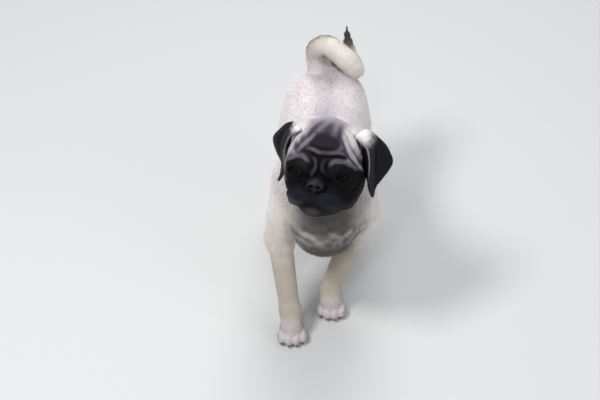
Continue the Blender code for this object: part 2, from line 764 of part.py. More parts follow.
def swollen(mesh, width):
    """The mesh with its surface moved out by the width."""
    work = bmesh.new()
    work.from_mesh(mesh)
    work.normal_update()
    moves = [(vert, vert.normal * width) for vert in work.verts]
    for vert, move in moves:
        vert.co += move
    return finished(work)


def head_pieces(flesh):
    """The head, the jaw, the nose, both eyes and the neck."""
    lines = relief_lines()

    def height(points):
        return relief(points, lines)

    whole = skin_over(head_shapes() + neck_shapes(), flesh, FACE_VOXEL, height)
    whole = trimmed(whole, NECK_PLANE, -1)
    head = thinned(trimmed(whole, SKULL_PLANE, -1), 4520)
    neck = thinned(trimmed(whole, SKULL_PLANE), 300)
    pieces = {"neck": neck}
    nose = Ball(NOSE_CENTRE, (0.0112, 0.0075, 0.0082)).placed(HEAD)
    for name, sign in (("left", 1), ("right", -1)):
        centre = Vector((sign * EYE_CENTRE.x, EYE_CENTRE.y, EYE_CENTRE.z))
        eye = Ball(centre, [EYE_RADIUS] * 3).placed(HEAD)
        pieces[f"eye_{name}"] = ball_solid(eye)
        head = boolean(head, ball_solid(opening_of_eye(sign), sides=24), "DIFFERENCE")
        head = boolean(head, ball_solid(eye, GAP), "DIFFERENCE")
    head, pieces["nose"] = parted(head, nose)
    pieces["jaw"] = boolean(head, jaw_solid(-GAP), "INTERSECT")
    pieces["head"] = boolean(head, jaw_solid(), "DIFFERENCE")
    for name, rows in EARS.items():
        pieces[f"ear_{name}"] = boolean(ear_mesh(rows), swollen(pieces["head"], GAP), "DIFFERENCE")
    return pieces


def body_pieces(flesh):
    """The chest, belly and rump, and the four legs."""
    floor = (Vector((0, 0, 0)), Vector((0, 0, 1)))
    wrist = (Vector((0, 0, PAW_TOP)), Vector((0, 0, 1)))
    body = skin_over(flesh, flesh, BODY_VOXEL)
    body = thinned(trimmed(trimmed(body, NECK_PLANE), wrist), 1900)
    pieces = {}
    shoulders = {
        "left": Ball((0.046, 0.030, 0.158), (0.026, 0.036, 0.047)),
        "right": Ball((-0.048, 0.028, 0.160), (0.026, 0.036, 0.047)),
    }
    thighs = {
        "left": Ball((0.038, 0.166, 0.140), (0.028, 0.044, 0.048)),
        "right": Ball((-0.032, 0.182, 0.140), (0.028, 0.044, 0.048)),
    }
    leg_boxes = {
        "foreleg_left": ((-0.014, -0.10, 0), (0.20, 0.10, LEG_TOP)),
        "foreleg_right": ((-0.20, -0.10, 0), (-0.014, 0.10, LEG_TOP)),
        "hindleg_left": ((0, 0.10, 0), (0.20, 0.40, HIND_LEG_TOP)),
        "hindleg_right": ((-0.20, 0.10, 0), (0, 0.40, HIND_LEG_TOP)),
    }
    for side in ("left", "right"):
        body, pieces[f"shoulder_{side}"] = parted(body, shoulders[side])
        body, pieces[f"thigh_{side}"] = parted(body, thighs[side])
    for name, (low, high) in leg_boxes.items():
        pieces[name] = boolean(body, box_solid(low, high, -GAP), "INTERSECT")
        body = boolean(body, box_solid(low, high), "DIFFERENCE")
    pieces["chest"] = trimmed(body, CHEST_PLANE, -1)
    pieces["belly"] = trimmed(trimmed(body, CHEST_PLANE), RUMP_PLANE, -1)
    pieces["rump"] = trimmed(body, RUMP_PLANE)
    for kind, legs, shapes_of in (("fore", FORE_LEGS, fore_leg_shapes), ("hind", HIND_LEGS, hind_leg_shapes)):
        for side, leg in legs.items():
            paw = skin_over(shapes_of(leg)[2:], flesh, PAW_VOXEL)
            paw = thinned(trimmed(paw, wrist, -1), 340)
            pieces[f"{kind}paw_{side}"] = trimmed(paw, floor, gap=0)
    return pieces


def tail_pieces(rump):
    tail = thinned(skin_over(tail_shapes(), tail_shapes(), TAIL_VOXEL), 420)
    tail = boolean(tail, swollen(rump, GAP), "DIFFERENCE")
    tail, root = parted(tail, Ball((-0.0030, 0.2210, 0.2130), (0.024, 0.024, 0.022)))
    curl, tip = parted(tail, Ball((0.0300, 0.2410, 0.2560), (0.012, 0.012, 0.024)))
    return {"tail_root": root, "tail_curl": curl, "tail_tip": tip}


FAWN = (0.74, 0.68, 0.62)
PALE_FAWN = (0.80, 0.76, 0.72)
LEG_FAWN = (0.60, 0.52, 0.44)
CHEST_GREY = (0.42, 0.39, 0.36)
MASK = (0.012, 0.012, 0.015)
EAR_BLACK = (0.015, 0.014, 0.018)
NOSE_BLACK = (0.010, 0.010, 0.012)
EYE_BROWN = (0.020, 0.010, 0.006)
TAIL_TIP = (0.070, 0.055, 0.048)

COLOURS = {
    "head": (MASK, 0.75),
    "jaw": (MASK, 0.75),
    "nose": (NOSE_BLACK, 0.35),
    "eye": (EYE_BROWN, 0.08),
    "ear": (EAR_BLACK, 0.60),
    "neck": (CHEST_GREY, 0.85),
    "chest": (FAWN, 0.85),
    "belly": (FAWN, 0.85),
    "rump": (PALE_FAWN, 0.85),
    "shoulder": (FAWN, 0.85),
    "thigh": (FAWN, 0.85),
    "foreleg": (LEG_FAWN, 0.85),
    "hindleg": (LEG_FAWN, 0.85),
    "forepaw": (LEG_FAWN, 0.85),
    "hindpaw": (LEG_FAWN, 0.85),
    "tail_root": (PALE_FAWN, 0.85),
    "tail_curl": (PALE_FAWN, 0.85),
    "tail_tip": (TAIL_TIP, 0.85),
}


def material_for(name):
    key = name if name in COLOURS else name.rsplit("_", 1)[0]
    colour, roughness = COLOURS[key]
    material = bpy.data.materials.new(name)
    material.use_nodes = True
    surface = material.node_tree.nodes["Principled BSDF"]
    surface.inputs["Base Color"].default_value = (*colour, 1)
    surface.inputs["Roughness"].default_value = roughness
    return material


def main():
    clear_scene()
    flesh = trunk_shapes() + neck_shapes() + head_shapes() + leg_shapes()
    pieces = {**head_pieces(flesh), **body_pieces(flesh)}
    pieces.update(tail_pieces(pieces["rump"]))
    group = bpy.data.collections.new("pug")
    bpy.context.scene.collection.children.link(group)
    base = bpy.data.objects.new("pug_base", None)
    base.location = -ORIGIN
    group.objects.link(base)
    for name, mesh in pieces.items():
        mesh = largest_surface(mesh)
        mesh.name = name
        mesh.materials.append(material_for(name))
        mesh.shade_smooth()
        mesh.set_sharp_from_angle(angle=math.radians(50))
        piece = bpy.data.objects.new(name, mesh)
        piece.parent = base
        group.objects.link(piece)


main()
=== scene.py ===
"""The looks of the life-size pug puppy: one folded skin, a short coat of mesh tufts, eyes, nose, ears and claws.

Metres, +Z up. The puppy faces -Y and its left side is +X. The forms are the ones of the solids, drawn finer,
and every piece is made where the solids stand before ORIGIN moves it over the middle of the floor.
"""

import math

import bmesh
import bpy
import numpy as np
from mathutils import Euler, Matrix, Vector


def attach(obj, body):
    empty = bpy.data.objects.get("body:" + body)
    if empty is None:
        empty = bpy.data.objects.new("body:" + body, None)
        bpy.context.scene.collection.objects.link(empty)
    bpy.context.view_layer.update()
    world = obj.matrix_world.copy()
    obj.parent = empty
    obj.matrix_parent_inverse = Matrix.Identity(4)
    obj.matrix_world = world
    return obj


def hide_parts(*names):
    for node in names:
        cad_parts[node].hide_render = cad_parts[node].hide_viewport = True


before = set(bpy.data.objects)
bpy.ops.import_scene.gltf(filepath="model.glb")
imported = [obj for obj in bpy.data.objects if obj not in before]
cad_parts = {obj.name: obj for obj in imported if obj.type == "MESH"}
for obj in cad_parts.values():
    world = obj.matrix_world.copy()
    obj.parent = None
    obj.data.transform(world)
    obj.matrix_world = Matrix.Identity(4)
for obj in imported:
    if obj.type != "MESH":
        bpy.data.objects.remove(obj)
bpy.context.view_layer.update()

# Driving sizes of the puppy, as in the solids
CHEST_HALF_WIDTH = 0.0550
RUMP_HALF_WIDTH = 0.0480
CHEST_CENTRE = Vector((0, 0.038, 0.182))
RUMP_CENTRE = Vector((0.0035, 0.188, 0.171))
HEAD_CENTRE = Vector((-0.0017, -0.012, 0.260))
HEAD_PITCH_UP = 20
HEAD_YAW_RIGHT = 12
HEAD_ROLL_LEFT_DOWN = 1
EYE_CENTRE = Vector((0.0255, -0.0275, 0.0050))
EYE_RADIUS = 0.0092
NOSE_CENTRE = Vector((0, -0.0460, -0.0040))
ORIGIN = Vector((0.0021, 0.0891, 0.0))

# Detail of the surface
SKIN_VOXEL = 0.0017
NOSE_VOXEL = 0.0004
SEED = 7

# The photo's camera, in the model's own frame
CAMERA_PLACE = (-0.0302, -1.7481, 1.6930)
CAMERA_TILT = 48
CAMERA_LENS = 117


class Ball:
    """An ellipsoid with its own turn. A hollow one is taken out of what was put down before it."""

    def __init__(self, centre, radii, blend=0.012, turn=(0, 0, 0), hollow=False):
        self.centre = Vector(centre)
        self.radii = Vector(radii)
        self.turn = Euler([math.radians(a) for a in turn]).to_matrix()
        self.blend = blend
        self.hollow = hollow

    def placed(self, place):
        copy = Ball(place @ self.centre, self.radii, self.blend, hollow=self.hollow)
        copy.turn = place.to_3x3() @ self.turn
        return copy

    def mirrored(self):
        flip = Matrix.Diagonal((-1, 1, 1))
        copy = Ball(flip @ self.centre, self.radii, self.blend, hollow=self.hollow)
        copy.turn = flip @ self.turn @ flip
        return copy

    def reach(self):
        return [(self.centre, max(self.radii))]

    def measured(self, points):
        """Each point's distance from the surface, and the way straight out of it."""
        turn = np.array(self.turn)
        local = (points - np.array(self.centre)) @ turn
        near = np.linalg.norm(local / np.array(self.radii), axis=1)
        out = local / np.array(self.radii) ** 2
        steep = np.maximum(np.linalg.norm(out, axis=1), 1e-9)
        return near * (near - 1) / steep, out @ turn.T / steep[:, None]

    def beads(self):
        return [Matrix.Translation(self.centre) @ self.turn.to_4x4() @ Matrix.Diagonal((*self.radii, 1))]


class Limb:
    """A tapered rod with round ends."""

    def __init__(self, start, end, start_radius, end_radius, blend=0.010, hollow=False):
        self.start = Vector(start)
        self.end = Vector(end)
        self.start_radius = start_radius
        self.end_radius = end_radius
        self.blend = blend
        self.hollow = hollow

    def placed(self, place):
        ends = (place @ self.start, place @ self.end)
        return Limb(*ends, self.start_radius, self.end_radius, self.blend, self.hollow)

    def mirrored(self):
        return self.placed(Matrix.Diagonal((-1, 1, 1)))

    def reach(self):
        return [(self.start, self.start_radius), (self.end, self.end_radius)]

    def measured(self, points):
        """Each point's distance from the surface, and the way straight out of it."""
        start = np.array(self.start)
        along = np.array(self.end) - start
        share = np.clip((points - start) @ along / (along @ along), 0, 1)
        off = points - start - share[:, None] * along
        far = np.maximum(np.linalg.norm(off, axis=1), 1e-9)
        radius = self.start_radius + share * (self.end_radius - self.start_radius)
        return far - radius, off / far[:, None]

    def beads(self):
        length = (self.end - self.start).length
        steps = 1 + round(1.5 * length / min(self.start_radius, self.end_radius))
        places = []
        for n in range(steps + 1):
            radius = self.start_radius + n / steps * (self.end_radius - self.start_radius)
            places.append(Matrix.Translation(self.start.lerp(self.end, n / steps)) @ Matrix.Scale(radius, 4))
        return places


def both_sides(shapes):
    return [twin for shape in shapes for twin in (shape, shape.mirrored())]


def chain(points, radii, blend=0.006, hollow=False):
    """Limbs end to end through the points."""
    return [
        Limb(points[n], points[n + 1], radii[n], radii[n + 1], blend, hollow)
        for n in range(len(points) - 1)
    ]


def smooth_through(points, steps):
    """Points on one smooth curve through the given ones."""
    points = [Vector(p) for p in points]
    ends = [points[0] * 2 - points[1], *points, points[-1] * 2 - points[-2]]
    out = []
    for n in range(1, len(ends) - 2):
        before, start, end, after = ends[n - 1 : n + 3]
        for step in range(steps):
            t = step / steps
            linear = (end - before) * t
            square = (2 * before - 5 * start + 4 * end - after) * t**2
            cube = (3 * start - before - 3 * end + after) * t**3
            out.append(0.5 * (2 * start + linear + square + cube))
    return [*out, points[-1]]


def in_metres(points):
    return [Vector(p) / 1000 for p in points]


def head_frame():
    turns = (-HEAD_PITCH_UP, HEAD_ROLL_LEFT_DOWN, -HEAD_YAW_RIGHT)
    turn = Euler([math.radians(a) for a in turns], "YXZ")
    return Matrix.Translation(HEAD_CENTRE) @ turn.to_matrix().to_4x4()


HEAD = head_frame()
TO_HEAD = np.array(HEAD.inverted())


def in_head(points):
    """The points in the head's own frame, where the face looks along -Y."""
    return points @ TO_HEAD[:3, :3].T + TO_HEAD[:3, 3]


def trunk_shapes():
    chest = CHEST_CENTRE
    rump = RUMP_CENTRE
    middle = chest.lerp(rump, 0.5)
    spine = [
        Ball(chest, (CHEST_HALF_WIDTH - 0.004, 0.064, 0.058)),
        Ball(chest + Vector((0, 0.030, 0.001)), (CHEST_HALF_WIDTH, 0.060, 0.057), 0.020),
        Ball(middle + Vector((0, 0.010, -0.002)), (0.050, 0.066, 0.052), 0.020),
        Ball(rump, (RUMP_HALF_WIDTH, 0.050, 0.048), 0.020),
        Ball(rump + Vector((0.004, 0.026, 0.029)), (0.025, 0.024, 0.022), 0.012),
        Ball(chest + Vector((0, -0.004, 0.034)), (0.036, 0.056, 0.028), 0.030),
        Ball(chest + Vector((0, -0.044, -0.018)), (0.036, 0.028, 0.040), 0.025),
    ]
    shoulder = Ball(chest + Vector((0.0405, 0.000, -0.003)), (0.019, 0.034, 0.046), 0.016)
    hips = [
        Ball((0.025, 0.006, 0.008), (0.026, 0.042, 0.038), 0.012),
        Ball((0.029, -0.002, -0.030), (0.020, 0.040, 0.046), 0.016),
    ]
    at_rump = Matrix.Translation(rump)
    return spine + both_sides([shoulder]) + [hip.placed(at_rump) for hip in both_sides(hips)]


def neck_shapes():
    root = CHEST_CENTRE + Vector((0, -0.008, 0.012))
    top = HEAD_CENTRE + Vector((0, 0.018, -0.008))
    return [Limb(root, top, 0.046, 0.038, 0.030)]


# The relief of the face, in millimetres in the head's own frame, where the puppy's left is +X: each line's
# half width and height, and the places that it runs through. Rolls stand out and creases sink in.
FRONT_ROLL = (
    (-24, -33, 32),
    (-16, -38, 35),
    (-8, -40, 35),
    (0, -42, 33),
    (12, -41, 34),
    (23, -35, 34),
    (29, -31, 29),
    (34, -25, 22),
)
BROW_LEFT = ((13, -43, 13), (14, -44, 20), (19, -42, 25), (27, -34, 23), (33, -29, 18), (38, -24, 13), (42, -16, 4))
BROW_RIGHT = (
    (-11, -44, 15),
    (-13, -44, 21),
    (-19, -39, 25),
    (-28, -37, 23),
    (-34, -33, 18),
    (-38, -28, 12),
    (-41, -20, 4),
)
BRIDGE_LEFT = ((11, -40, 27), (7, -44, 25), (5, -46, 20), (6, -46, 13), (13, -46, 5), (22, -42, -6), (29, -30, -22))
BRIDGE_RIGHT = (
    (-10, -41, 28),
    (-4, -44, 24),
    (-2, -46, 18),
    (-4, -46, 11),
    (-11, -46, 2),
    (-21, -42, -6),
    (-28, -32, -19),
)
TEMPLE_ROLLS = (
    ((18, -4, 48), (21, -10, 44), (26, -18, 38), (31, -22, 30), (37, -19, 20), (42, -12, 10), (44, -4, 0)),
    ((22, 1, 48), (26, -4, 46), (32, -9, 39), (37, -8, 30), (41, -1, 19), (43, 6, 10)),
    ((-8, -14, 48), (-11, -21, 44), (-16, -28, 39), (-25, -32, 28), (-31, -31, 21)),
    ((-18, -4, 48), (-22, -9, 45), (-27, -13, 40), (-34, -15, 30), (-38, -18, 19), (-40, -20, 12)),
)
TEMPLE_CREASES = (
    ((19, -15, 43), (21, -19, 41), (26, -25, 34), (32, -25, 24), (39, -18, 15), (41, -13, 8)),
    ((23, -6, 45), (26, -10, 42), (31, -14, 34), (37, -13, 25), (41, -8, 16), (43, -3, 9)),
    ((-15, -12, 47), (-17, -18, 44), (-21, -21, 40), (-29, -25, 31), (-35, -26, 22)),
)
EAR_CREASES = (
    ((30, -3, 46), (33, -5, 43), (36, -6, 39), (38, -5, 33), (39, -2, 26), (40, -6, 18)),
    ((-25, -8, 44), (-29, -11, 40), (-34, -10, 35), (-37, -9, 26), (-39, -13, 19)),
)
ROLLS = (
    (4.2, 3.2, FRONT_ROLL),
    (4.6, 3.0, BROW_LEFT),
    (4.6, 3.0, BROW_RIGHT),
    (4.4, 3.2, BRIDGE_LEFT),
    (4.4, 3.2, BRIDGE_RIGHT),
    *((3.8, 2.0, line) for line in TEMPLE_ROLLS),
)
TWIN_ROLLS = (
    (3.4, 1.3, ((17, -44, -3), (25, -41, -7), (33, -33, -7), (39, -23, -3))),
    (7.0, 2.8, ((9, -50, -10), (16, -50, -13), (23, -46, -17), (28, -38, -22), (29, -30, -29))),
    (4.8, 2.0, ((4, -57, -19), (11, -56, -24), (18, -51, -28), (25, -43, -28), (29, -34, -29))),
    (2.2, 0.9, ((16, -38, 10), (20, -41, 13), (26, -40, 15), (32, -36, 13), (36, -31, 8))),
    (1.8, 0.6, ((17, -39, 0), (22, -42, -3), (28, -41, -4), (34, -36, -2))),
)
FRONT_CREASE = ((-17, -39, 31), (-7, -43, 29), (1, -43, 28), (14, -40, 29), (26, -33, 27), (32, -27, 22))
UPPER_CREASE = ((-16, -36, 40), (-4, -39, 40), (6, -40, 39), (20, -36, 40))
CREASES = (
    (2.4, 2.2, FRONT_CREASE),
    (2.8, 1.4, UPPER_CREASE),
    (2.6, 2.8, ((2, -44, 29), (1, -46, 22), (1, -47, 14), (0, -46, 6))),
    (2.1, 2.2, ((13, -44, 8), (10, -44, 16), (12, -42, 23))),
    (2.1, 2.2, ((-11, -45, 8), (-8, -45, 16), (-9, -43, 24))),
    (1.3, 1.9, ((0, -53, -9), (0, -54, -14), (0, -56, -23))),
    *((2.2, 1.6, line) for line in TEMPLE_CREASES),
    *((3.2, 2.4, line) for line in EAR_CREASES),
)
LIP_LINE = ((0, -56, -23), (6, -55, -26), (13, -53, -31), (20, -48, -33), (26, -41, -33), (29, -32, -33))
TWIN_CREASES = (
    (3.4, 1.6, ((8, -47, -4), (14, -48, -8), (21, -45, -12), (28, -37, -18), (31, -28, -27))),
    (2.8, 2.0, ((27, -38, -7), (33, -30, -12), (36, -22, -22), (35, -14, -32))),
    (2.3, 3.8, LIP_LINE),
    (1.6, 0.8, ((16, -40, 13), (22, -41, 17), (29, -38, 17), (36, -31, 12))),
)


def head_shapes():
    """In the head's own frame the face looks along -Y."""
    eye = EYE_CENTRE
    nose = NOSE_CENTRE
    skull = [
        Ball((0, 0.010, 0.012), (0.0415, 0.046, 0.0415)),
        Ball((0, -0.018, 0.016), (0.033, 0.024, 0.025), 0.015),
        Ball((0, -0.028, -0.022), (0.026, 0.020, 0.018), 0.010),
        Ball((0, -0.006, -0.026), (0.032, 0.034, 0.020), 0.015),
        Ball((0.001, -0.034, -0.0358), (0.0165, 0.018, 0.009), 0.008),
        Ball((0.0310, -0.015, -0.0265), (0.0125, 0.021, 0.0125), 0.010),
        Ball((0.0180, -0.035, -0.0310), (0.0115, 0.0130, 0.0095), 0.006),
        Ball((0.0400, -0.008, -0.008), (0.0095, 0.018, 0.016), 0.010),
    ]
    cheeks = [
        Ball((0.0300, 0.010, 0.036), (0.014, 0.017, 0.0130), 0.010),
        Ball((0.0270, -0.008, -0.006), (0.0150, 0.026, 0.025), 0.012),
        Ball((0.0120, -0.039, -0.0215), (0.0135, 0.0150, 0.0125), 0.006),
        Ball((0.0205, -0.0355, -0.0235), (0.0105, 0.0145, 0.0115), 0.004),
        Ball(eye + Vector((0, -0.0005, 0)), Vector((1, 1, 1)) * (EYE_RADIUS + 0.0024), 0.005),
    ]
    snout = [
        Ball(nose + Vector((0, 0.006, 0)), (0.0085, 0.010, 0.0075), 0.004),
        Ball(nose, (0.0080, 0.0060, 0.0060), 0.003),
    ]
    return [shape.placed(HEAD) for shape in skull + both_sides(cheeks) + snout]


def opening_of_eye(sign):
    """What the lids leave open, as a ball that is cut out of the skin."""
    ball = Ball(EYE_CENTRE + Vector((0.0020, -0.0092, -0.0004)), (0.0074, 0.0100, 0.0056), turn=(-4, 6, 14))
    return (ball if sign > 0 else ball.mirrored()).placed(HEAD)


def on_head_surface(line, height=0.0):
    """The line's places as a smooth curve on the head's plain surface, or a height over it, in the head's frame."""
    places = np.array([HEAD @ p for p in smooth_through(in_metres(line), 3)])
    return in_head(settle(places, head_shapes(), lambda points: -height, rounds=8))


def relief_lines():
    """Every roll and crease as its half width, its height and its places."""
    lines = [(*size, line) for *size, line in ROLLS]
    lines += [(width, -depth, line) for width, depth, line in CREASES]
    for sign, group in ((1, TWIN_ROLLS), (-1, TWIN_CREASES)):
        for width, height, line in group:
            mirrored = tuple((-x, y, z) for x, y, z in line)
            lines += [(width, sign * height, line), (width, sign * height, mirrored)]
    return [(width / 1000, height / 1000, on_head_surface(line)) for width, height, line in lines]


def relief(points, lines):
    """How far the face stands out of the plain head at each place."""
    out = np.zeros(len(points))
    local = in_head(points)
    face = np.flatnonzero((local[:, 1] < 0.010) & (np.linalg.norm(local, axis=1) < 0.085))
    local = local[face]
    up = np.zeros(len(face))
    down = np.zeros(len(face))
    for width, height, line in lines:
        low, high = line.min(axis=0) - width, line.max(axis=0) + width
        near = np.flatnonzero(((local > low) & (local < high)).all(axis=1))
        off, along = near_line(local[near], line)
        ends = ramp(along, 0.0, 0.22) * (1 - ramp(along, 0.76, 1.0))
        share = np.clip(1 - (off / width) ** 2, 0, 1)
        if height > 0:
            up[near] = np.maximum(up[near], height * ends * share**1.3)
        else:
            down[near] = np.maximum(down[near], -height * ends * share**2)
    out[face] = up - down
    return out


def nose_shapes():
    nose = NOSE_CENTRE
    solid = [
        Ball(nose + Vector((0, 0.004, 0)), (0.0090, 0.0090, 0.0080), 0.004),
        Ball(nose + Vector((0, -0.0002, 0.0002)), (0.0084, 0.0064, 0.0064), 0.003),
        *both_sides([Ball(nose + Vector((0.0060, -0.0010, -0.0012)), (0.0040, 0.0058, 0.0046), 0.0016)]),
        Ball(nose + Vector((0, -0.0040, -0.0050)), (0.0034, 0.0034, 0.0030), 0.0020),
    ]
    nostril = [
        Ball(nose + Vector((0.0042, -0.0064, -0.0013)), (0.0026, 0.0042, 0.0023), 0.0010, (0, -28, 0), True),
        *chain([nose + Vector(p) for p in ((0.0054, -0.0062, -0.0024), (0.0082, -0.0046, -0.0050))], (0.0011, 0.0007), 0.0010, True),
    ]
    groove = chain([nose + Vector(p) for p in ((0, -0.0072, -0.0010), (0, -0.0078, -0.0064))], (0.0004, 0.0006), 0.0008, True)
    return [shape.placed(HEAD) for shape in solid + both_sides(nostril) + groove]


def paw_shapes(toe, heading):
    """A paw: toe is the tip of the middle toes on the floor, heading its turn about Z."""
    place = Matrix.Translation(toe) @ Matrix.Rotation(math.radians(heading), 4, "Z")
    shapes = [
        Ball((0, 0.021, 0.0125), (0.0150, 0.016, 0.013), 0.006),
        Ball((0, 0.025, 0.0045), (0.0100, 0.010, 0.006), 0.004),
    ]
    for across, back, width in TOES:
        shapes.append(Ball((across, back, 0.0081), (width, 0.0100, 0.0088), 0.0022))
    return [shape.placed(place) for shape in shapes]


# Each toe's place across and back, and its half width
TOES = (
    (-0.0046, 0.0090, 0.0060),
    (0.0046, 0.0090, 0.0060),
    (-0.0130, 0.0135, 0.0056),
    (0.0130, 0.0135, 0.0056),
)

FORE_LEGS = {
    "right": {
        "shoulder": (-0.045, 0.024, 0.160),
        "elbow": (-0.0525, 0.022, 0.120),
        "wrist": (-0.0400, -0.014, 0.036),
        "toe": (-0.037, -0.045, 0.0),
        "heading": 3,
    },
    "left": {
        "shoulder": (0.044, 0.026, 0.160),
        "elbow": (0.036, 0.034, 0.116),
        "wrist": (0.009, 0.026, 0.034),
        "toe": (0.0085, -0.001, 0.0),
        "heading": -6,
    },
}

HIND_LEGS = {
    "right": {
        "hip": (-0.022, 0.190, 0.152),
        "stifle": (-0.034, 0.168, 0.106),
        "hock": (-0.034, 0.238, 0.060),
        "toe": (-0.034, 0.206, 0.0),
        "heading": 4,
    },
    "left": {
        "hip": (0.026, 0.180, 0.152),
        "stifle": (0.036, 0.148, 0.104),
        "hock": (0.035, 0.194, 0.054),
        "toe": (0.033, 0.150, 0.0),
        "heading": -4,
    },
}


def fore_leg_shapes(leg):
    wrist = Vector(leg["wrist"])
    knuckle = Vector(leg["toe"]).lerp(wrist, 0.5) + Vector((0, 0.004, 0.004))
    return [
        Limb(leg["shoulder"], leg["elbow"], 0.0220, 0.0175, 0.016),
        Limb(leg["elbow"], wrist, 0.0155, 0.0126, 0.010),
        Limb(wrist, knuckle, 0.0134, 0.0126, 0.006),
        *paw_shapes(leg["toe"], leg["heading"]),
    ]


def hind_leg_shapes(leg):
    hock = Vector(leg["hock"])
    knuckle = Vector(leg["toe"]).lerp(hock, 0.42) + Vector((0, 0.008, -0.006))
    return [
        Limb(leg["hip"], leg["stifle"], 0.0310, 0.0230, 0.016),
        Limb(leg["stifle"], hock, 0.0215, 0.0130, 0.010),
        Limb(hock, knuckle, 0.0125, 0.0125, 0.006),
        *paw_shapes(leg["toe"], leg["heading"]),
    ]


def leg_shapes():
    fore = [shape for leg in FORE_LEGS.values() for shape in fore_leg_shapes(leg)]
    hind = [shape for leg in HIND_LEGS.values() for shape in hind_leg_shapes(leg)]
    return fore + hind


# The tail's curl as points on its middle line, each with the tail's radius there
TAIL = (
    ((0.000, 0.214, 0.196), 0.0165),
    ((-0.007, 0.228, 0.225), 0.0132),
    ((-0.0065, 0.224, 0.2435), 0.0128),
    ((0.004, 0.216, 0.2550), 0.0126),
    ((0.016, 0.211, 0.2505), 0.0126),
    ((0.027, 0.209, 0.2400), 0.0126),
    ((0.0365, 0.211, 0.2265), 0.0118),
    ((0.040, 0.222, 0.2165), 0.0100),
    ((0.036, 0.236, 0.2215), 0.0082),
    ((0.031, 0.241, 0.239), 0.0060),
    ((0.0285, 0.241, 0.264), 0.0016),
)
TAIL_LINE = smooth_through([point for point, _ in TAIL], 2)
TAIL_RADII = np.interp(np.linspace(0, len(TAIL) - 1, len(TAIL_LINE)), range(len(TAIL)), [r for _, r in TAIL])


def tail_shapes():
    inside = Ball((0.0150, 0.2235, 0.2315), (0.0150, 0.0105, 0.0165), 0.004)
    return [*chain(TAIL_LINE, TAIL_RADII, 0.004), inside]


def ramp(value, low, high):
    """From 0 at low to 1 at high, with soft ends."""
    share = np.clip((value - low) / (high - low), 0, 1)
    return share * share * (3 - 2 * share)


def near_line(points, line):
    """Each point's distance from a line of places, and how far along the line its nearest place is."""
    line = np.array(line)
    best = np.full(len(points), 1e9)
    along = np.zeros(len(points))
    for n in range(len(line) - 1):
        step = line[n + 1] - line[n]
        share = np.clip((points - line[n]) @ step / (step @ step), 0, 1)
        far = np.linalg.norm(points - line[n] - share[:, None] * step, axis=1)
        closer = far < best
        best[closer] = far[closer]
        along[closer] = (n + share[closer]) / (len(line) - 1)
    return best, along


def waves(points, size, seed):
    """Smooth noise between about -1 and 1, with features of the given size."""
    draw = np.random.default_rng(seed)
    total = np.zeros(len(points))
    for _ in range(7):
        way = draw.normal(size=3)
        way /= np.linalg.norm(way)
        total += np.sin(points @ way * (2 * math.pi / (size * draw.uniform(0.7, 1.5))) + draw.uniform(0, 6.28))
    return total / 2.6


def shares(points):
    """How much each place belongs to the head, the crown, the tail and the legs, each from 0 to 1."""
    local = in_head(points)
    off_skull = np.linalg.norm(local / np.array((0.046, 0.058, 0.050)), axis=1)
    head = 1 - ramp(off_skull, 1.05, 1.45)
    crown = ramp(local[:, 1], -0.022, 0.022)
    tail = np.zeros(len(points))
    along_tail = np.zeros(len(points))
    behind = np.flatnonzero((points[:, 1] > 0.18) & (points[:, 2] > 0.17))
    off_tail, along_tail[behind] = near_line(points[behind], TAIL_LINE)
    reach = np.interp(along_tail[behind], np.linspace(0, 1, len(TAIL_RADII)), TAIL_RADII)
    in_curl = np.linalg.norm((points[behind] - (0.0150, 0.2235, 0.2315)) / (0.019, 0.014, 0.020), axis=1) < 1
    near_tail = np.where(in_curl & (points[behind, 2] > 0.222), 1, 1 - ramp(off_tail - reach, 0.000, 0.004))
    tail[behind] = near_tail * ramp(along_tail[behind], 0.04, 0.14)
    tail *= ramp(points[:, 1], 0.18, 0.20)
    low = 1 - ramp(points[:, 2], 0.085, 0.125)
    paw = 1 - ramp(points[:, 2], 0.018, 0.042)
    return {"head": head, "crown": crown, "tail": tail, "along_tail": along_tail, "leg": low, "paw": paw}


BODY_COAT = 0.0050
CHEST_COAT = 0.0080
FACE_COAT = 0.0026
MUZZLE_COAT = 0.0016
CROWN_COAT = 0.0038
LEG_COAT = 0.0038
PAW_COAT = 0.0028
TAIL_COAT = 0.0085
SKIN_SHARE = 0.25


def coat_length(points, part):
    """The length of the coat at each place."""
    front = (1 - ramp(points[:, 1], -0.010, 0.035)) * ramp(points[:, 2], 0.10, 0.13)
    length = BODY_COAT + (CHEST_COAT - BODY_COAT) * front
    length += (LEG_COAT - length) * part["leg"]
    length += (PAW_COAT - length) * part["paw"]
    length += (TAIL_COAT * (1 - 0.35 * ramp(part["along_tail"], 0.75, 1.0)) - length) * part["tail"]
    face = FACE_COAT + (CROWN_COAT - FACE_COAT) * part["crown"]
    front = 1 - ramp(in_head(points)[:, 1], -0.036, -0.022)
    face += (MUZZLE_COAT - face) * front
    length += (face - length) * part["head"]
    return length


def skin_depth(points):
    return SKIN_SHARE * coat_length(points, shares(points))


def shapes_near(points, shapes, margin=0.010):
    """Each shape with the numbers of the points that it may reach."""
    found = []
    for shape in shapes:
        pad = shape.blend + margin
        low = np.min([np.array(c) - r - pad for c, r in shape.reach()], axis=0)
        high = np.max([np.array(c) + r + pad for c, r in shape.reach()], axis=0)
        inside = (points[:, 1] > low[1]) & (points[:, 1] < high[1])
        for axis in (0, 2):
            inside &= (points[:, axis] > low[axis]) & (points[:, axis] < high[axis])
        near = np.flatnonzero(inside)
        if len(near):
            found.append((shape, near))
    return found


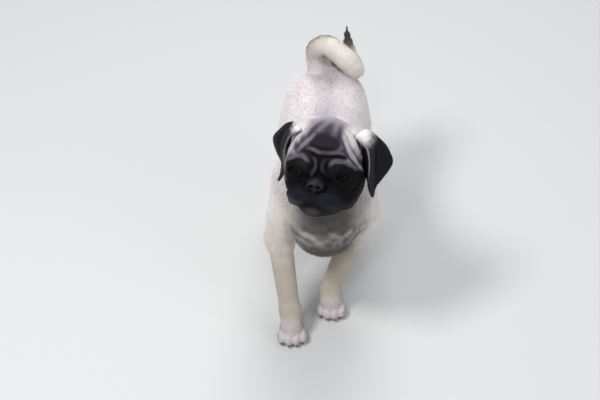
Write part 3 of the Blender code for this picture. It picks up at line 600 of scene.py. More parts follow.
def blended(points, nearby):
    """Each point's distance from the smooth blend of the shapes, negative inside, and the way out of it."""
    found = np.full(len(points), 1.0)
    out = np.zeros_like(points)
    for shape, near in nearby:
        mine, way = shape.measured(points[near])
        old = found[near]
        sign = -1 if shape.hollow else 1
        part = np.clip(0.5 + 0.5 * (sign * old - mine) / shape.blend, 0, 1)
        found[near] = sign * (sign * old + (mine - sign * old) * part - shape.blend * part * (1 - part))
        out[near] += (sign * way - out[near]) * part[:, None]
    return found, out


def settle(points, shapes, depth=None, rounds=4):
    """Moves the points onto the blend's surface, or to a depth under it."""
    points = points.copy()
    nearby = shapes_near(points, shapes)
    sunk = 0 if depth is None else depth(points)
    for _ in range(rounds):
        here, slope = blended(points, nearby)
        steep = np.maximum((slope**2).sum(axis=1), 0.25)
        move = slope * ((here + sunk) / steep)[:, None]
        length = np.linalg.norm(move, axis=1)
        points -= move * np.minimum(1, 0.003 / np.maximum(length, 1e-9))[:, None]
    return points


def with_modifier(mesh, kind, **settings):
    """The mesh after one modifier."""
    item = bpy.data.objects.new("work", mesh)
    bpy.context.scene.collection.objects.link(item)
    modifier = item.modifiers.new("work", kind)
    for name, value in settings.items():
        setattr(modifier, name, value)
    graph = bpy.context.evaluated_depsgraph_get()
    made = bpy.data.meshes.new_from_object(item.evaluated_get(graph))
    bpy.data.objects.remove(item)
    return made


def points_of(mesh):
    flat = np.empty(len(mesh.vertices) * 3)
    mesh.vertices.foreach_get("co", flat)
    return flat.reshape(-1, 3)


def normals_of(mesh):
    flat = np.empty(len(mesh.vertices) * 3, np.float32)
    mesh.vertex_normals.foreach_get("vector", flat)
    return flat.reshape(-1, 3).astype(float)


def triangles_of(mesh):
    mesh.calc_loop_triangles()
    flat = np.empty(len(mesh.loop_triangles) * 3, np.int32)
    mesh.loop_triangles.foreach_get("vertices", flat)
    return flat.reshape(-1, 3)


def mesh_from(name, points, triangles):
    """A mesh of triangles, made in bulk."""
    mesh = bpy.data.meshes.new(name)
    mesh.vertices.add(len(points))
    mesh.vertices.foreach_set("co", np.ascontiguousarray(points, np.float32).ravel())
    mesh.loops.add(len(triangles) * 3)
    mesh.loops.foreach_set("vertex_index", np.ascontiguousarray(triangles, np.int32).ravel())
    mesh.polygons.add(len(triangles))
    mesh.polygons.foreach_set("loop_start", np.arange(0, len(triangles) * 3, 3, dtype=np.int32))
    mesh.update(calc_edges=True)
    return mesh


def finished(work):
    made = bpy.data.meshes.new("work")
    work.to_mesh(made)
    work.free()
    return made


def beads_mesh(places):
    """One unit ball put at each place."""
    ball = bmesh.new()
    bmesh.ops.create_icosphere(ball, subdivisions=3, radius=1)
    points = np.array([v.co for v in ball.verts])
    faces = np.array([[v.index for v in f.verts] for f in ball.faces])
    ball.free()
    places = [np.array(place) for place in places]
    all_points = np.concatenate([points @ place[:3, :3].T + place[:3, 3] for place in places])
    all_faces = np.concatenate([faces + n * len(points) for n in range(len(places))])
    return mesh_from("beads", all_points, all_faces)


def largest_surface(points, triangles):
    """The triangles of the surface that holds the most points."""
    label = np.arange(len(points))
    while True:
        low = label[triangles].min(axis=1)
        new = label.copy()
        np.minimum.at(new, triangles.ravel(), np.repeat(low, 3))
        new = new[new]
        if (new == label).all():
            break
        label = new
    kept = np.bincount(label).argmax()
    return triangles[label[triangles[:, 0]] == kept]


def skin_over(shapes, voxel, depth=None):
    """A closed skin settled on the blend of the shapes."""
    beads = [place for shape in shapes if not shape.hollow for place in shape.beads()]
    mesh = with_modifier(beads_mesh(beads), "REMESH", mode="VOXEL", voxel_size=voxel)
    mesh.vertices.foreach_set("co", settle(points_of(mesh), shapes, depth).ravel())
    mesh = with_modifier(mesh, "REMESH", mode="VOXEL", voxel_size=voxel)
    mesh.vertices.foreach_set("co", settle(points_of(mesh), shapes, depth, 2).ravel())
    return mesh


def refined(mesh, shapes, depth, chosen):
    """The mesh with each face that chosen() picks cut in four and settled again."""
    work = bmesh.new()
    work.from_mesh(mesh)
    work.verts.ensure_lookup_table()
    picked = chosen(np.array([v.co for v in work.verts]))
    edges = [edge for edge in work.edges if picked[edge.verts[0].index] and picked[edge.verts[1].index]]
    bmesh.ops.subdivide_edges(work, edges=edges, cuts=1, use_grid_fill=True)
    bmesh.ops.triangulate(work, faces=[face for face in work.faces if len(face.verts) > 4])
    made = finished(work)
    points = points_of(made)
    moving = np.flatnonzero(chosen(points))
    points[moving] = settle(points[moving], shapes, depth, 3)
    made.vertices.foreach_set("co", points.ravel())
    return made


def cut_out(mesh, ball):
    """The mesh without what lies in the ball."""
    work = bmesh.new()
    size = Matrix.Diagonal((*ball.radii, 1))
    place = Matrix.Translation(ball.centre) @ ball.turn.to_4x4() @ size
    bmesh.ops.create_icosphere(work, subdivisions=5, radius=1, matrix=place)
    tool = bpy.data.objects.new("tool", finished(work))
    bpy.context.scene.collection.objects.link(tool)
    made = with_modifier(mesh, "BOOLEAN", operation="DIFFERENCE", object=tool, solver="MANIFOLD")
    bpy.data.objects.remove(tool)
    return made


def smoothed(mesh, rounds):
    return with_modifier(mesh, "SMOOTH", factor=0.5, iterations=rounds)


def on_face(points, back=0.006):
    local = in_head(points)
    return (local[:, 1] < back) & (np.linalg.norm(local, axis=1) < 0.085)


def on_front(points):
    return on_face(points, -0.014)


def srgb(red, green, blue):
    """A colour given from 0 to 255, as the linear one that shading uses."""
    share = np.array((red, green, blue)) / 255
    return np.where(share <= 0.04045, share / 12.92, ((share + 0.055) / 1.055) ** 2.4)


CREAM = srgb(238, 232, 226)
BACK = srgb(222, 211, 215)
TRACE = srgb(150, 140, 150)
UNDER = srgb(222, 212, 198)
CHEST_GREY = srgb(190, 186, 178)
# Dark grey chest fur, also used as painted shade under the chin and low between the front legs
CHEST_DARK = srgb(46, 43, 43)
LEG_FAWN = srgb(193, 184, 168)
PAW_FAWN = srgb(210, 201, 201)
SILVER = srgb(184, 179, 185)
FOREHEAD = srgb(34, 31, 37)
MASK = srgb(13, 12, 16)
CREST = srgb(100, 96, 102)
CROWN_GREY = srgb(158, 151, 160)
CROWN_DARK = srgb(66, 61, 70)
TEMPLE = srgb(184, 180, 187)
# Painted highlight: the bluish sheen on the black upper lip pads
LIP_PAD_SHEEN = srgb(32, 33, 42)
# The lips' own black, deepened as painted shade in the crease of the mouth line
LIP = srgb(6, 5, 7)
CHIN = srgb(66, 62, 61)
EAR_BLACK = srgb(17, 16, 20)
# Lighter rim hair with a painted highlight along the ear's front edge
EAR_RIM = srgb(150, 144, 150)
EAR_STRIP = srgb(38, 36, 42)
EAR_ROOT = srgb(214, 209, 207)
TAIL_CREAM = srgb(238, 231, 222)
# The tip's own dark hair, also used as painted shade inside the tail's curl
TAIL_DARK = srgb(84, 74, 74)
TAIL_TIP = srgb(66, 50, 48)


def painted(colour, other, share):
    """The colour at each point moved towards another one."""
    return colour + (np.asarray(other) - colour) * np.asarray(share)[:, None]


def spot(local, centre, radii, soft):
    """1 inside an ellipsoid given in millimetres in the head's frame, 0 outside, with a soft edge."""
    off = np.linalg.norm((local * 1000 - np.array(centre)) / np.array(radii), axis=1)
    return 1 - ramp(off, 1 - soft, 1 + soft)


def crest(local, line, width, height=0.0, end=0.2):
    """How close each point is to the top of a roll of skin, or to the bottom of a crease."""
    off, along = near_line(local, on_head_surface(line, height))
    return (1 - ramp(off, 0.35 * width, width)) * ramp(along, 0.0, end) * (1 - ramp(along, 1 - end, 1.0))


def head_colour(points, colour):
    local = in_head(points)
    rough = waves(points, 0.012, 21)
    across = np.degrees(np.arctan2(local[:, 0], local[:, 2]))
    streaks = 0.5 + 0.5 * np.sin(across * 0.42 + 2.2 * waves(points, 0.05, 17))
    front = 1 - ramp(local[:, 1], -0.012, 0.010)
    look = painted(colour, SILVER, ramp(local[:, 2], -0.030, -0.005))
    look = painted(look, CROWN_GREY, spot(local, (4, -4, 50), (28, 30, 20), 0.6) * 0.8)
    look = painted(look, CROWN_DARK, np.clip(spot(local, (1, -19, 45), (31, 25, 17), 0.5) * (0.62 + 0.38 * streaks), 0, 1))
    look = painted(look, CROWN_DARK, streaks * front * ramp(local[:, 2], 0.022, 0.034) * 0.65)
    dark = np.maximum.reduce(
        [
            spot(local, (2, -33, 40), (24, 21, 15), 0.40),
            spot(local, (0, -34, 28), (36, 24, 10), 0.30),
            spot(local, (0, -30, 8), (47, 26, 20), 0.22),
        ]
    )
    look = painted(look, FOREHEAD, np.clip(dark + 0.5 * rough * dark * (1 - dark), 0, 1))
    mask = np.maximum.reduce(
        [
            spot(local, (2, -38, -24), (48, 42, 36), 0.14),
            spot(local, (1, -44, 10), (13, 14, 24), 0.35),
            spot(local, (28, -32, 2), (17, 18, 15), 0.22),
            spot(local, (-28, -32, 2), (16, 18, 14), 0.22),
            spot(local, (36, -8, -12), (22, 28, 30), 0.25),
            spot(local, (-30, -10, -22), (19, 26, 24), 0.25),
        ]
    )
    look = painted(look, MASK, np.clip(mask + 0.5 * rough * mask * (1 - mask), 0, 1))
    for line, strength in zip(TEMPLE_ROLLS, (1.0, 0.9, 0.30, 0.75)):
        look = painted(look, TEMPLE, crest(local, line, 0.0046, 0.0015, 0.4) * strength)
    for line, width, strength in (
        (FRONT_ROLL, 0.0032, 0.62),
        (BROW_LEFT, 0.0036, 0.80),
        (BROW_RIGHT, 0.0038, 0.80),
        (BRIDGE_LEFT[:5], 0.0030, 0.30),
        (BRIDGE_RIGHT[:5], 0.0030, 0.34),
    ):
        shown = strength * np.clip(0.85 + 0.3 * waves(points, 0.016, 44), 0, 1)
        look = painted(look, CREST, crest(local, line, width, 0.0022, 0.3) * shown)
    # Painted shade: the forehead's creases darkened to black
    for line in (FRONT_CREASE, UPPER_CREASE):
        look = painted(look, MASK, crest(local, line, 0.0030, -0.0015) * 0.9)
    # Painted shade: the temple creases darkened to dark grey
    for line in TEMPLE_CREASES:
        look = painted(look, CROWN_DARK, crest(local, line, 0.0026, -0.0010) * 0.85)
    # Painted highlight: the upper lip pads lighter and bluish, as sheen on black fur
    pad_sheen = spot(local, (15, -48, -20), (14, 18, 9), 0.5) + spot(local, (-15, -48, -20), (14, 18, 9), 0.5)
    look = painted(look, LIP_PAD_SHEEN, np.clip(pad_sheen, 0, 1) * 0.7)
    look = painted(look, CHIN, spot(local, (-1, -46, -35), (10, 14, 5), 0.4) * 0.6)
    for sign in (1, -1):
        # Painted shade with the lips' black: the mouth line's crease
        look = painted(look, LIP, crest(local * (sign, 1, 1), LIP_LINE, 0.0026, -0.0034))
        look = painted(look, EAR_ROOT, spot(local, (sign * 33, 2, 41), (13, 17, 14), 0.5))
    # Painted shadow: the dark of each ear's cup, painted on the temple along the cup's creases
    for line in EAR_CREASES:
        look = painted(look, MASK, crest(local, line, 0.0042, -0.0015))
    return look


def coat_colour(points, part):
    """The coat's markings at each place, with painted shade under the chin, low between the front legs, inside the
    tail's curl and in the face's creases, and a painted highlight on the lip pads, before the small changes from
    hair to hair.
    """
    side = np.abs(points[:, 0] - 0.002)
    broad = waves(points, 0.03, 3)
    fine = waves(points, 0.012, 8)
    colour = np.tile(CREAM, (len(points), 1))
    above = ramp(points[:, 2], 0.180, 0.222)
    colour = painted(colour, BACK, above * np.clip(0.75 + 0.2 * broad, 0, 1))
    trace = (1 - ramp(side + 0.003 * broad, 0.003, 0.022)) * above
    fade = 1 - 0.65 * ramp(points[:, 1], 0.075, 0.15)
    colour = painted(colour, TRACE, trace * fade)
    under = 1 - ramp(points[:, 2], 0.120, 0.160)
    colour = painted(colour, UNDER, under * 0.7)
    front = (1 - ramp(points[:, 1], 0.000, 0.032)) * (1 - ramp(side, 0.034, 0.054))
    colour = painted(colour, CHEST_GREY, front * ramp(points[:, 2], 0.118, 0.145))
    smudge = (1 - ramp(points[:, 1], 0.030, 0.070)) * (1 - ramp(np.abs(points[:, 2] - 0.164), 0.008, 0.024))
    smudge *= 1 - ramp(side, 0.034, 0.052)
    # Darker fur with painted shade: a dark band low on the chest, between the front legs
    band_fur_and_shade = (1 - ramp(points[:, 1], 0.050, 0.090)) * (1 - ramp(points[:, 2] + 0.004 * fine, 0.154, 0.172))
    band_fur_and_shade *= 1 - ramp(side, 0.022, 0.040)
    # Dark grey fur with painted shade: the throat just under the chin
    throat_fur_and_shade = (1 - ramp(points[:, 1], -0.032, 0.004)) * ramp(points[:, 2] + 0.004 * fine, 0.168, 0.188)
    throat_fur_and_shade *= 1 - ramp(side, 0.022, 0.042)
    dark = np.maximum.reduce([0.8 * smudge * np.clip(0.65 + 0.6 * fine, 0, 1), band_fur_and_shade, 0.9 * throat_fur_and_shade])
    dark = np.clip(dark + 0.35 * fine * dark * (1 - dark), 0, 1)
    colour = painted(colour, CHEST_DARK, dark * 0.85)
    colour = painted(colour, LEG_FAWN, part["leg"])
    colour = painted(colour, PAW_FAWN, part["paw"])
    tail = painted(np.tile(TAIL_CREAM, (len(points), 1)), TAIL_DARK, tail_curl_shade_and_tip(points, part))
    colour = colour + (tail - colour) * part["tail"][:, None]
    on_head = np.flatnonzero(part["head"] > 0)
    look = head_colour(points[on_head], colour[on_head])
    colour[on_head] += (look - colour[on_head]) * part["head"][on_head, None]
    return colour


def tail_curl_shade_and_tip(points, part):
    """How dark the tail is: painted shade inside the curl, broken by streaks of darker hair, and almost black at
    the tip, the tip's own colour.
    """
    centre = np.array((0.014, 0.226, 0.233))
    line = np.array(TAIL_LINE)
    spine = line[np.clip((part["along_tail"] * (len(line) - 1)).round().astype(int), 0, len(line) - 1)]
    inward = centre - spine
    inward /= np.maximum(np.linalg.norm(inward, axis=1), 1e-6)[:, None]
    outward = points - spine
    outward /= np.maximum(np.linalg.norm(outward, axis=1), 1e-6)[:, None]
    facing = (inward * outward).sum(axis=1)
    # Painted shade inside the curl, where the turns of the tail shade each other
    inside = ramp(facing, 0.0, 0.7) * ramp(part["along_tail"], 0.1, 0.3)
    streaks = 0.6 + 0.4 * np.sin(np.linalg.norm(points - centre, axis=1) * 900 + 2 * waves(points, 0.02, 4))
    return np.maximum(inside * streaks, ramp(part["along_tail"], 0.80, 0.93))


def new_material(name, roughness, specular, **inputs):
    material = bpy.data.materials.new(name)
    material.use_nodes = True
    surface = material.node_tree.nodes["Principled BSDF"]
    surface.inputs["Roughness"].default_value = roughness
    surface.inputs["Specular IOR Level"].default_value = specular
    for key, value in inputs.items():
        surface.inputs[key.replace("_", " ")].default_value = value
    return material, surface


def node(material, kind, **settings):
    made = material.node_tree.nodes.new(kind)
    for name, value in settings.items():
        setattr(made, name, value)
    return made


def link(material, output, target):
    material.node_tree.links.new(output, target)


def painted_material(name, roughness, specular, grain, grain_size, bump, **inputs):
    """A material that shows the painted colour with a fine grain in colour, roughness and height."""
    material, surface = new_material(name, roughness, specular, **inputs)
    paint = node(material, "ShaderNodeAttribute", attribute_name="coat")
    place = node(material, "ShaderNodeTexCoord")
    noise = node(material, "ShaderNodeTexNoise")
    noise.inputs["Scale"].default_value = 1 / grain_size
    noise.inputs["Detail"].default_value = 4
    link(material, place.outputs["Object"], noise.inputs["Vector"])
    shade = node(material, "ShaderNodeMapRange")
    shade.inputs["To Min"].default_value = 1 - grain
    shade.inputs["To Max"].default_value = 1 + grain
    link(material, noise.outputs["Fac"], shade.inputs["Value"])
    blend = node(material, "ShaderNodeVectorMath", operation="SCALE")
    link(material, paint.outputs["Color"], blend.inputs[0])
    link(material, shade.outputs["Result"], blend.inputs["Scale"])
    link(material, blend.outputs["Vector"], surface.inputs["Base Color"])
    rough = node(material, "ShaderNodeMapRange")
    rough.inputs["To Min"].default_value = max(0, roughness - 0.12)
    rough.inputs["To Max"].default_value = min(1, roughness + 0.12)
    link(material, noise.outputs["Fac"], rough.inputs["Value"])
    link(material, rough.outputs["Result"], surface.inputs["Roughness"])
    height = node(material, "ShaderNodeBump")
    height.inputs["Strength"].default_value = bump
    height.inputs["Distance"].default_value = grain_size
    link(material, noise.outputs["Fac"], height.inputs["Height"])
    link(material, height.outputs["Normal"], surface.inputs["Normal"])
    return material


def put(name, mesh, material, replaced=()):
    """Makes the piece, moves it to the model's frame and lets it ride."""
    mesh.name = name
    mesh.materials.clear()
    mesh.materials.append(material)
    mesh.transform(Matrix.Translation(-ORIGIN))
    mesh.shade_smooth()
    piece = bpy.data.objects.new(name, mesh)
    bpy.context.scene.collection.objects.link(piece)
    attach(piece, "root")
    if replaced:
        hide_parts(*replaced)
    return piece


def paint(mesh, colours):
    """Keeps a colour at each point of the mesh."""
    layer = mesh.color_attributes.new("coat", "FLOAT_COLOR", "POINT")
    flat = np.ones((len(colours), 4), np.float32)
    flat[:, :3] = colours
    layer.data.foreach_set("color", flat.ravel())


def flow(points, part):
    """The way the coat lies, from the nose back over the body and down the legs."""
    way = np.tile((0.0, 1.0, -0.15), (len(points), 1))
    flank = ramp(np.abs(points[:, 0]), 0.020, 0.050)
    way[:, 2] -= 0.55 * flank
    front = (1 - ramp(points[:, 1], -0.015, 0.030))[:, None]
    way = way * (1 - front) + np.array((0, 0.15, -1.0)) * front
    leg = part["leg"][:, None]
    way = way * (1 - leg) + np.array((0, 0.15, -1.0)) * leg
    paw = part["paw"][:, None]
    way = way * (1 - paw) + np.array((0, -0.9, -0.45)) * paw
    line = np.array(TAIL_LINE)
    nearest = np.clip((part["along_tail"] * (len(line) - 1)).astype(int), 0, len(line) - 2)
    tail_way = line[nearest + 1] - line[nearest]
    tail_way /= np.linalg.norm(tail_way, axis=1)[:, None]
    tail = part["tail"][:, None]
    way = way * (1 - tail) + tail_way * tail
    local = in_head(points)
    from_nose = local - np.array(NOSE_CENTRE) - np.array((0, 0.004, 0.004))
    from_nose /= np.maximum(np.linalg.norm(from_nose, axis=1), 1e-6)[:, None]
    from_nose[:, 1] += 0.25
    from_nose = from_nose @ np.array(HEAD.to_3x3()).T
    head = part["head"][:, None]
    return way * (1 - head) + from_nose * head


def unit(vectors):
    return vectors / np.maximum(np.linalg.norm(vectors, axis=1), 1e-9)[:, None]


class Ground:
    """A mesh that tufts grow on."""

    def __init__(self, mesh):
        self.corners = triangles_of(mesh)
        self.points = points_of(mesh)[self.corners]
        self.normals = normals_of(mesh)[self.corners]
        self.centres = self.points.mean(axis=1)
        one, two = self.points[:, 1] - self.points[:, 0], self.points[:, 2] - self.points[:, 0]
        self.area = np.linalg.norm(np.cross(one, two), axis=1) / 2

    def scattered(self, count, density, draw):
        """Places spread by area and density, with the surface's normal at each."""
        weight = np.cumsum(self.area * density)
        pick = (np.arange(count) + draw.random(count)) / count * weight[-1]
        chosen = np.minimum(np.searchsorted(weight, pick), len(weight) - 1)
        u = draw.random(count)
        v = draw.random(count)
        over = u + v > 1
        u[over] = 1 - u[over]
        v[over] = 1 - v[over]
        share = np.stack([1 - u - v, u, v], axis=1)[:, :, None]
        return (self.points[chosen] * share).sum(axis=1), unit((self.normals[chosen] * share).sum(axis=1))


def tuft_mesh(name, roots, normals, ways, lengths, widths, colours, maps, draw, rise=(34, 9)):
    """Thin tapered blades of two lengths each, bent down along the coat."""
    count = len(roots)
    along = unit(ways - normals * (ways * normals).sum(axis=1)[:, None])
    across = np.cross(normals, along)
    turn = np.radians(draw.normal(0, 8, count) + 9 * waves(roots, 0.02, 31))[:, None]
    along = along * np.cos(turn) + across * np.sin(turn)
    across = np.cross(normals, along)
    stray = draw.random(count) < 0.02
    lift = np.radians(rise[0] + draw.normal(0, 5, count) + 16 * stray)[:, None]
    rest = np.radians(rise[1] + draw.normal(0, 5, count) + 12 * stray)[:, None]
    first = along * np.cos(lift) + normals * np.sin(lift)
    second = along * np.cos(rest) + normals * np.sin(rest)
    lengths = (lengths * draw.uniform(0.72, 1.18, count))[:, None]
    widths = (widths * draw.uniform(0.7, 1.25, count))[:, None]
    base = roots - normals * 0.0004
    middle = base + first * lengths * 0.45
    tip = middle + second * lengths * 0.55
    points = np.stack(
        [
            base - across * widths / 2,
            base + across * widths / 2,
            middle - across * widths * 0.40,
            middle + across * widths * 0.40,
            tip,
        ],
        axis=1,
    )
    faces = np.array(((0, 1, 3), (0, 3, 2), (2, 3, 4)))
    triangles = (np.arange(count)[:, None, None] * 5 + faces).reshape(-1, 3)
    mesh = mesh_from(name, points.reshape(-1, 3), triangles)
    # Painted shade and light: each blade darker at its root, where the coat shades it, and a little lighter at its
    # tip
    shade = np.array((0.88, 0.88, 0.98, 0.98, 1.03))
    paint(mesh, (colours[:, None, :] * shade[None, :, None]).reshape(-1, 3).clip(0, 1))
    spread = np.array(((-1, -1), (1, -1), (-1, 0), (1, 0), (0, 1))) * 0.0015
    uv = (maps[:, None, :] + spread[None]).reshape(-1, 2)
    layer = mesh.uv_layers.new(name="OFBake")
    layer.data.foreach_set("uv", uv[triangles.ravel()].astype(np.float32).ravel())
    return mesh


def main():
    clear = [name for name in ("Cube", "Light", "Camera") if name in bpy.data.objects]
    for name in clear:
        bpy.data.objects.remove(bpy.data.objects[name])
    draw = np.random.default_rng(SEED)
    flesh = trunk_shapes() + neck_shapes() + head_shapes() + leg_shapes() + tail_shapes()
    skin = make_skin(flesh)
    make_coat(skin, draw)
    make_ears(draw)
    make_eyes()
    make_nose()
    make_claws()
    make_studio()


def make_skin(flesh):
    lines = relief_lines()

    def depth(points):
        return skin_depth(points) - relief(points, lines)

    mesh = skin_over(flesh, SKIN_VOXEL, skin_depth)
    mesh = refined(mesh, flesh, depth, on_face)
    mesh = refined(mesh, flesh, depth, on_front)
    mesh = smoothed(mesh, 2)
    for sign in (1, -1):
        mesh = cut_out(mesh, opening_of_eye(sign))
    points = points_of(mesh)
    triangles = largest_surface(points, triangles_of(mesh))
    used = np.unique(triangles)
    number = np.zeros(len(points), np.int64)
    number[used] = np.arange(len(used))
    points = points[used]
    points[:, 2] = np.maximum(points[:, 2], 0.0)
    mesh = mesh_from("skin", points, number[triangles])
    part = shares(points)
    # Painted shade: the skin takes the coat's markings a little darker, as it lies in the shade of the coat
    paint(mesh, coat_colour(points, part) * 0.92)
    material = painted_material("skin", 0.75, 0.10, 0.2, 0.0008, 0.4)
    solids = [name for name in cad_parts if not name.startswith(("ear", "eye", "nose"))]
    copy = mesh.copy()
    put("skin", mesh, material, solids)
    return copy


def coat_regions(points):
    """The number of the coat piece that each place belongs to."""
    part = shares(points)
    local = in_head(points)
    region = np.where(points[:, 0] > 0.002, 3, 4)
    region[(points[:, 1] < 0.060)] = 2
    region[part["head"] > 0.5] = 1
    region[(part["head"] > 0.5) & (local[:, 1] < 0.004)] = 0
    low = points[:, 2] < 0.112
    region[low & (points[:, 1] < 0.09)] = 5
    region[low & (points[:, 1] >= 0.09)] = 6
    region[part["tail"] > 0.5] = 7
    return region


def round_map(points, centre, axis):
    """A map round one axis: the turn about it, and how far along it the place is."""
    off = points - np.array(centre)
    a, b = [n for n in range(3) if n != axis]
    turn = np.arctan2(off[:, a], off[:, b]) / (2 * math.pi) + 0.5
    return turn, off[:, axis]


def leg_map(points):
    """Each leg of the pair has its own half of the map."""
    left = points[:, 0] > np.where(points[:, 1] < 0.09, -0.014, 0.0)
    middle = np.where(left, 0.022, -0.042)
    turn = np.arctan2(points[:, 0] - middle, points[:, 1] - np.where(points[:, 1] < 0.09, 0.01, 0.18))
    return np.stack([(turn / (2 * math.pi) + 0.5) * 0.48 + 0.5 * left + 0.01, points[:, 2] / 0.125], axis=1)


def coat_map(points, region):
    """Where each place lies on the unwrapped skin of its own piece."""
    local = in_head(points)
    if region in (0, 1):
        turn = np.arctan2(local[:, 0], -local[:, 1] if region == 0 else local[:, 1]) / (2 * math.pi) + 0.5
        rise = np.arctan2(local[:, 2], np.hypot(local[:, 0], local[:, 1])) / math.pi + 0.5
        return np.stack([turn, rise], axis=1)
    if region in (5, 6):
        return leg_map(points)
    if region == 7:
        line = np.array(TAIL_LINE)
        _, along = near_line(points, TAIL_LINE)
        spine = line[np.clip((along * (len(line) - 1)).round().astype(int), 0, len(line) - 1)]
        off = points - spine
        turn = np.arctan2(off[:, 1], np.hypot(off[:, 0], off[:, 2]) * np.sign(off[:, 2] + 1e-9))
        return np.stack([turn / (2 * math.pi) + 0.5, along], axis=1)
    turn, along = round_map(points, (0.002, 0.0, 0.175), 1)
    return np.stack([turn, (along + 0.06) / 0.32], axis=1)


# Name, slot, number of tufts and the tufts' width of each piece of the coat
COATS = (
    ("coat_face", "mask", 64000, 0.00034),
    ("coat_crown", "mask", 32000, 0.00045),
    ("coat_chest", "chest_coat", 62000, 0.00050),
    ("coat_left", "body_coat", 62000, 0.00050),
    ("coat_right", "body_coat", 62000, 0.00050),
    ("coat_fore_legs", "leg_coat", 46000, 0.00046),
    ("coat_hind_legs", "leg_coat", 46000, 0.00046),
    ("coat_tail", "body_coat", 34000, 0.00058),
)


def make_coat(skin, draw):
    fur = painted_material("fawn_fur", 0.72, 0.25, 0.10, 0.0012, 0.0, Sheen_Weight=0.25, Sheen_Roughness=0.5)
    dark = painted_material("mask_fur", 0.75, 0.05, 0.18, 0.0012, 0.0)
    eyes = [np.array(HEAD @ twin.centre) for twin in both_sides([Ball(EYE_CENTRE, [EYE_RADIUS] * 3)])]
    nose = np.array(HEAD @ NOSE_CENTRE)
    ground = Ground(skin)
    regions = coat_regions(ground.centres)
    near_eye = np.min([np.linalg.norm(ground.centres - eye, axis=1) for eye in eyes], axis=0)
    local = in_head(ground.centres)
    lips = on_head_surface(LIP_LINE, -0.0034)
    by_lips = np.min([near_line(local * (sign, 1, 1), lips)[0] for sign in (1, -1)], axis=0)
    bare = (near_eye < EYE_RADIUS + 0.0010) | (np.linalg.norm(ground.centres - nose, axis=1) < 0.0088)
    bare |= by_lips < 0.0018
    thick = ~bare * (1 + 1.5 * shares(ground.centres)["paw"]) * (ground.centres[:, 2] > 0.0006)
    for region, (name, slot, count, width) in enumerate(COATS):
        roots, normals = ground.scattered(count, thick * (regions == region), draw)
        part = shares(roots)
        lengths = coat_length(roots, part)
        short = lengths / BODY_COAT
        colours = coat_colour(roots, part)
        value = draw.normal(1.0, 0.055, count)
        colours = colours * value[:, None]
        grizzled = ramp(roots[:, 2], 0.18, 0.215) * (1 - part["head"]) * (1 - part["tail"])
        flecked = draw.random(count) < 0.13 * grizzled
        colours[flecked] *= 0.5
        widths = width * np.clip(short, 0.75, 1.2)
        rise = (26, 6) if name == "coat_chest" else (17, 2)
        maps = coat_map(roots, region)
        mesh = tuft_mesh(name, roots, normals, flow(roots, part), lengths, widths, colours, maps, draw, rise)
        put(name, mesh, dark if slot == "mask" else fur)


# Each ear as rows from its root to its tip, in millimetres in the head's own frame. A row starts inside the
# cup at the head, turns round the front rim, and runs over the folded strip, its crease and the flap to the
# back edge.
EARS = {
    "left": (
        ((31, 8, 33), (31, -1, 39), (33, 1, 44), (36, 5, 45), (39, 12, 44), (42, 18, 41)),
        ((35, 7, 32), (36, -6, 42), (39, -3, 48), (42, 3, 50), (44, 12, 47), (46, 20, 42)),
        ((37, 8, 27), (43, -8, 38), (46, -5, 46), (49, 2, 48), (51, 11, 44), (55, 20, 37)),
        ((39, 9, 20), (48, -7, 32), (51, -5, 40), (54, 3, 40), (60, 8, 37), (65, 18, 30)),
        ((40, 11, 12), (50, -5, 25), (53, -5, 32), (57, 2, 32), (63, 5, 29), (71, 17, 22)),
        ((43, 10, 4), (52, -5, 16), (55, -6, 21), (58, 0, 20), (66, 2, 18), (75, 14, 14)),
        ((46, 6, -3), (53, -6, 6), (56, -7, 9), (59, -1, 8), (66, 0, 6), (73, 10, 6)),
        ((51, 0, -9), (53, -6, -4), (56, -8, -3), (60, -4, -3), (63, -1, -4), (67, 4, -4)),
        ((53, -4, -14), (54, -6, -14), (56, -7, -14), (58, -6, -14), (60, -5, -13), (62, -4, -12)),
        ((57, -5, -23), (58, -6, -24), (58.6, -6, -24), (59.2, -6, -24), (60, -5.6, -24), (60.6, -5, -23.5)),
    ),
    "right": (
        ((-31, 8, 34), (-28, -8, 42), (-31, -4, 46), (-35, 3, 46), (-38, 12, 44), (-41, 20, 39)),
        ((-34, 7, 31), (-32, -10, 41), (-34, -5, 44), (-37, 3, 44), (-40, 12, 43), (-43, 20, 40)),
        ((-37, 7, 25), (-37, -8, 37), (-40, -4, 40), (-43, 4, 40), (-46, 11, 39), (-50, 20, 37)),
        ((-39, 9, 18), (-41, -6, 32), (-44, -4, 35), (-47, 3, 34), (-52, 8, 32), (-57, 19, 29)),
        ((-41, 11, 12), (-43, -5, 27), (-47, -3, 28), (-50, 3, 27), (-56, 7, 24), (-63, 20, 20)),
        ((-42, 10, 7), (-45, -5, 20), (-48, -4, 20), (-51, 2, 19), (-57, 7, 16), (-62, 19, 12)),
        ((-43, 6, 3), (-45, -5, 12), (-47, -4, 12), (-50, 0, 10), (-53, 4, 8), (-57, 13, 5)),
        ((-43, 1, -1), (-44, -5, 3), (-45, -5, 2), (-46, -3, 1), (-47.5, 0, 0), (-49, 3, -2)),
        ((-43, -2, -6), (-43.5, -5, -6), (-44.5, -5, -6), (-45.5, -4, -6), (-46.5, -3, -7), (-47.6, -1, -8)),
        ((-43.5, -3, -14), (-44, -5, -14), (-45, -5, -14), (-46, -4, -14), (-47, -3, -14), (-48, -2, -15)),
        ((-48, -3.2, -23), (-48.3, -4, -23), (-48.6, -4, -23), (-49, -4, -23), (-49.4, -4, -23), (-49.8, -3, -23)),
    ),
}


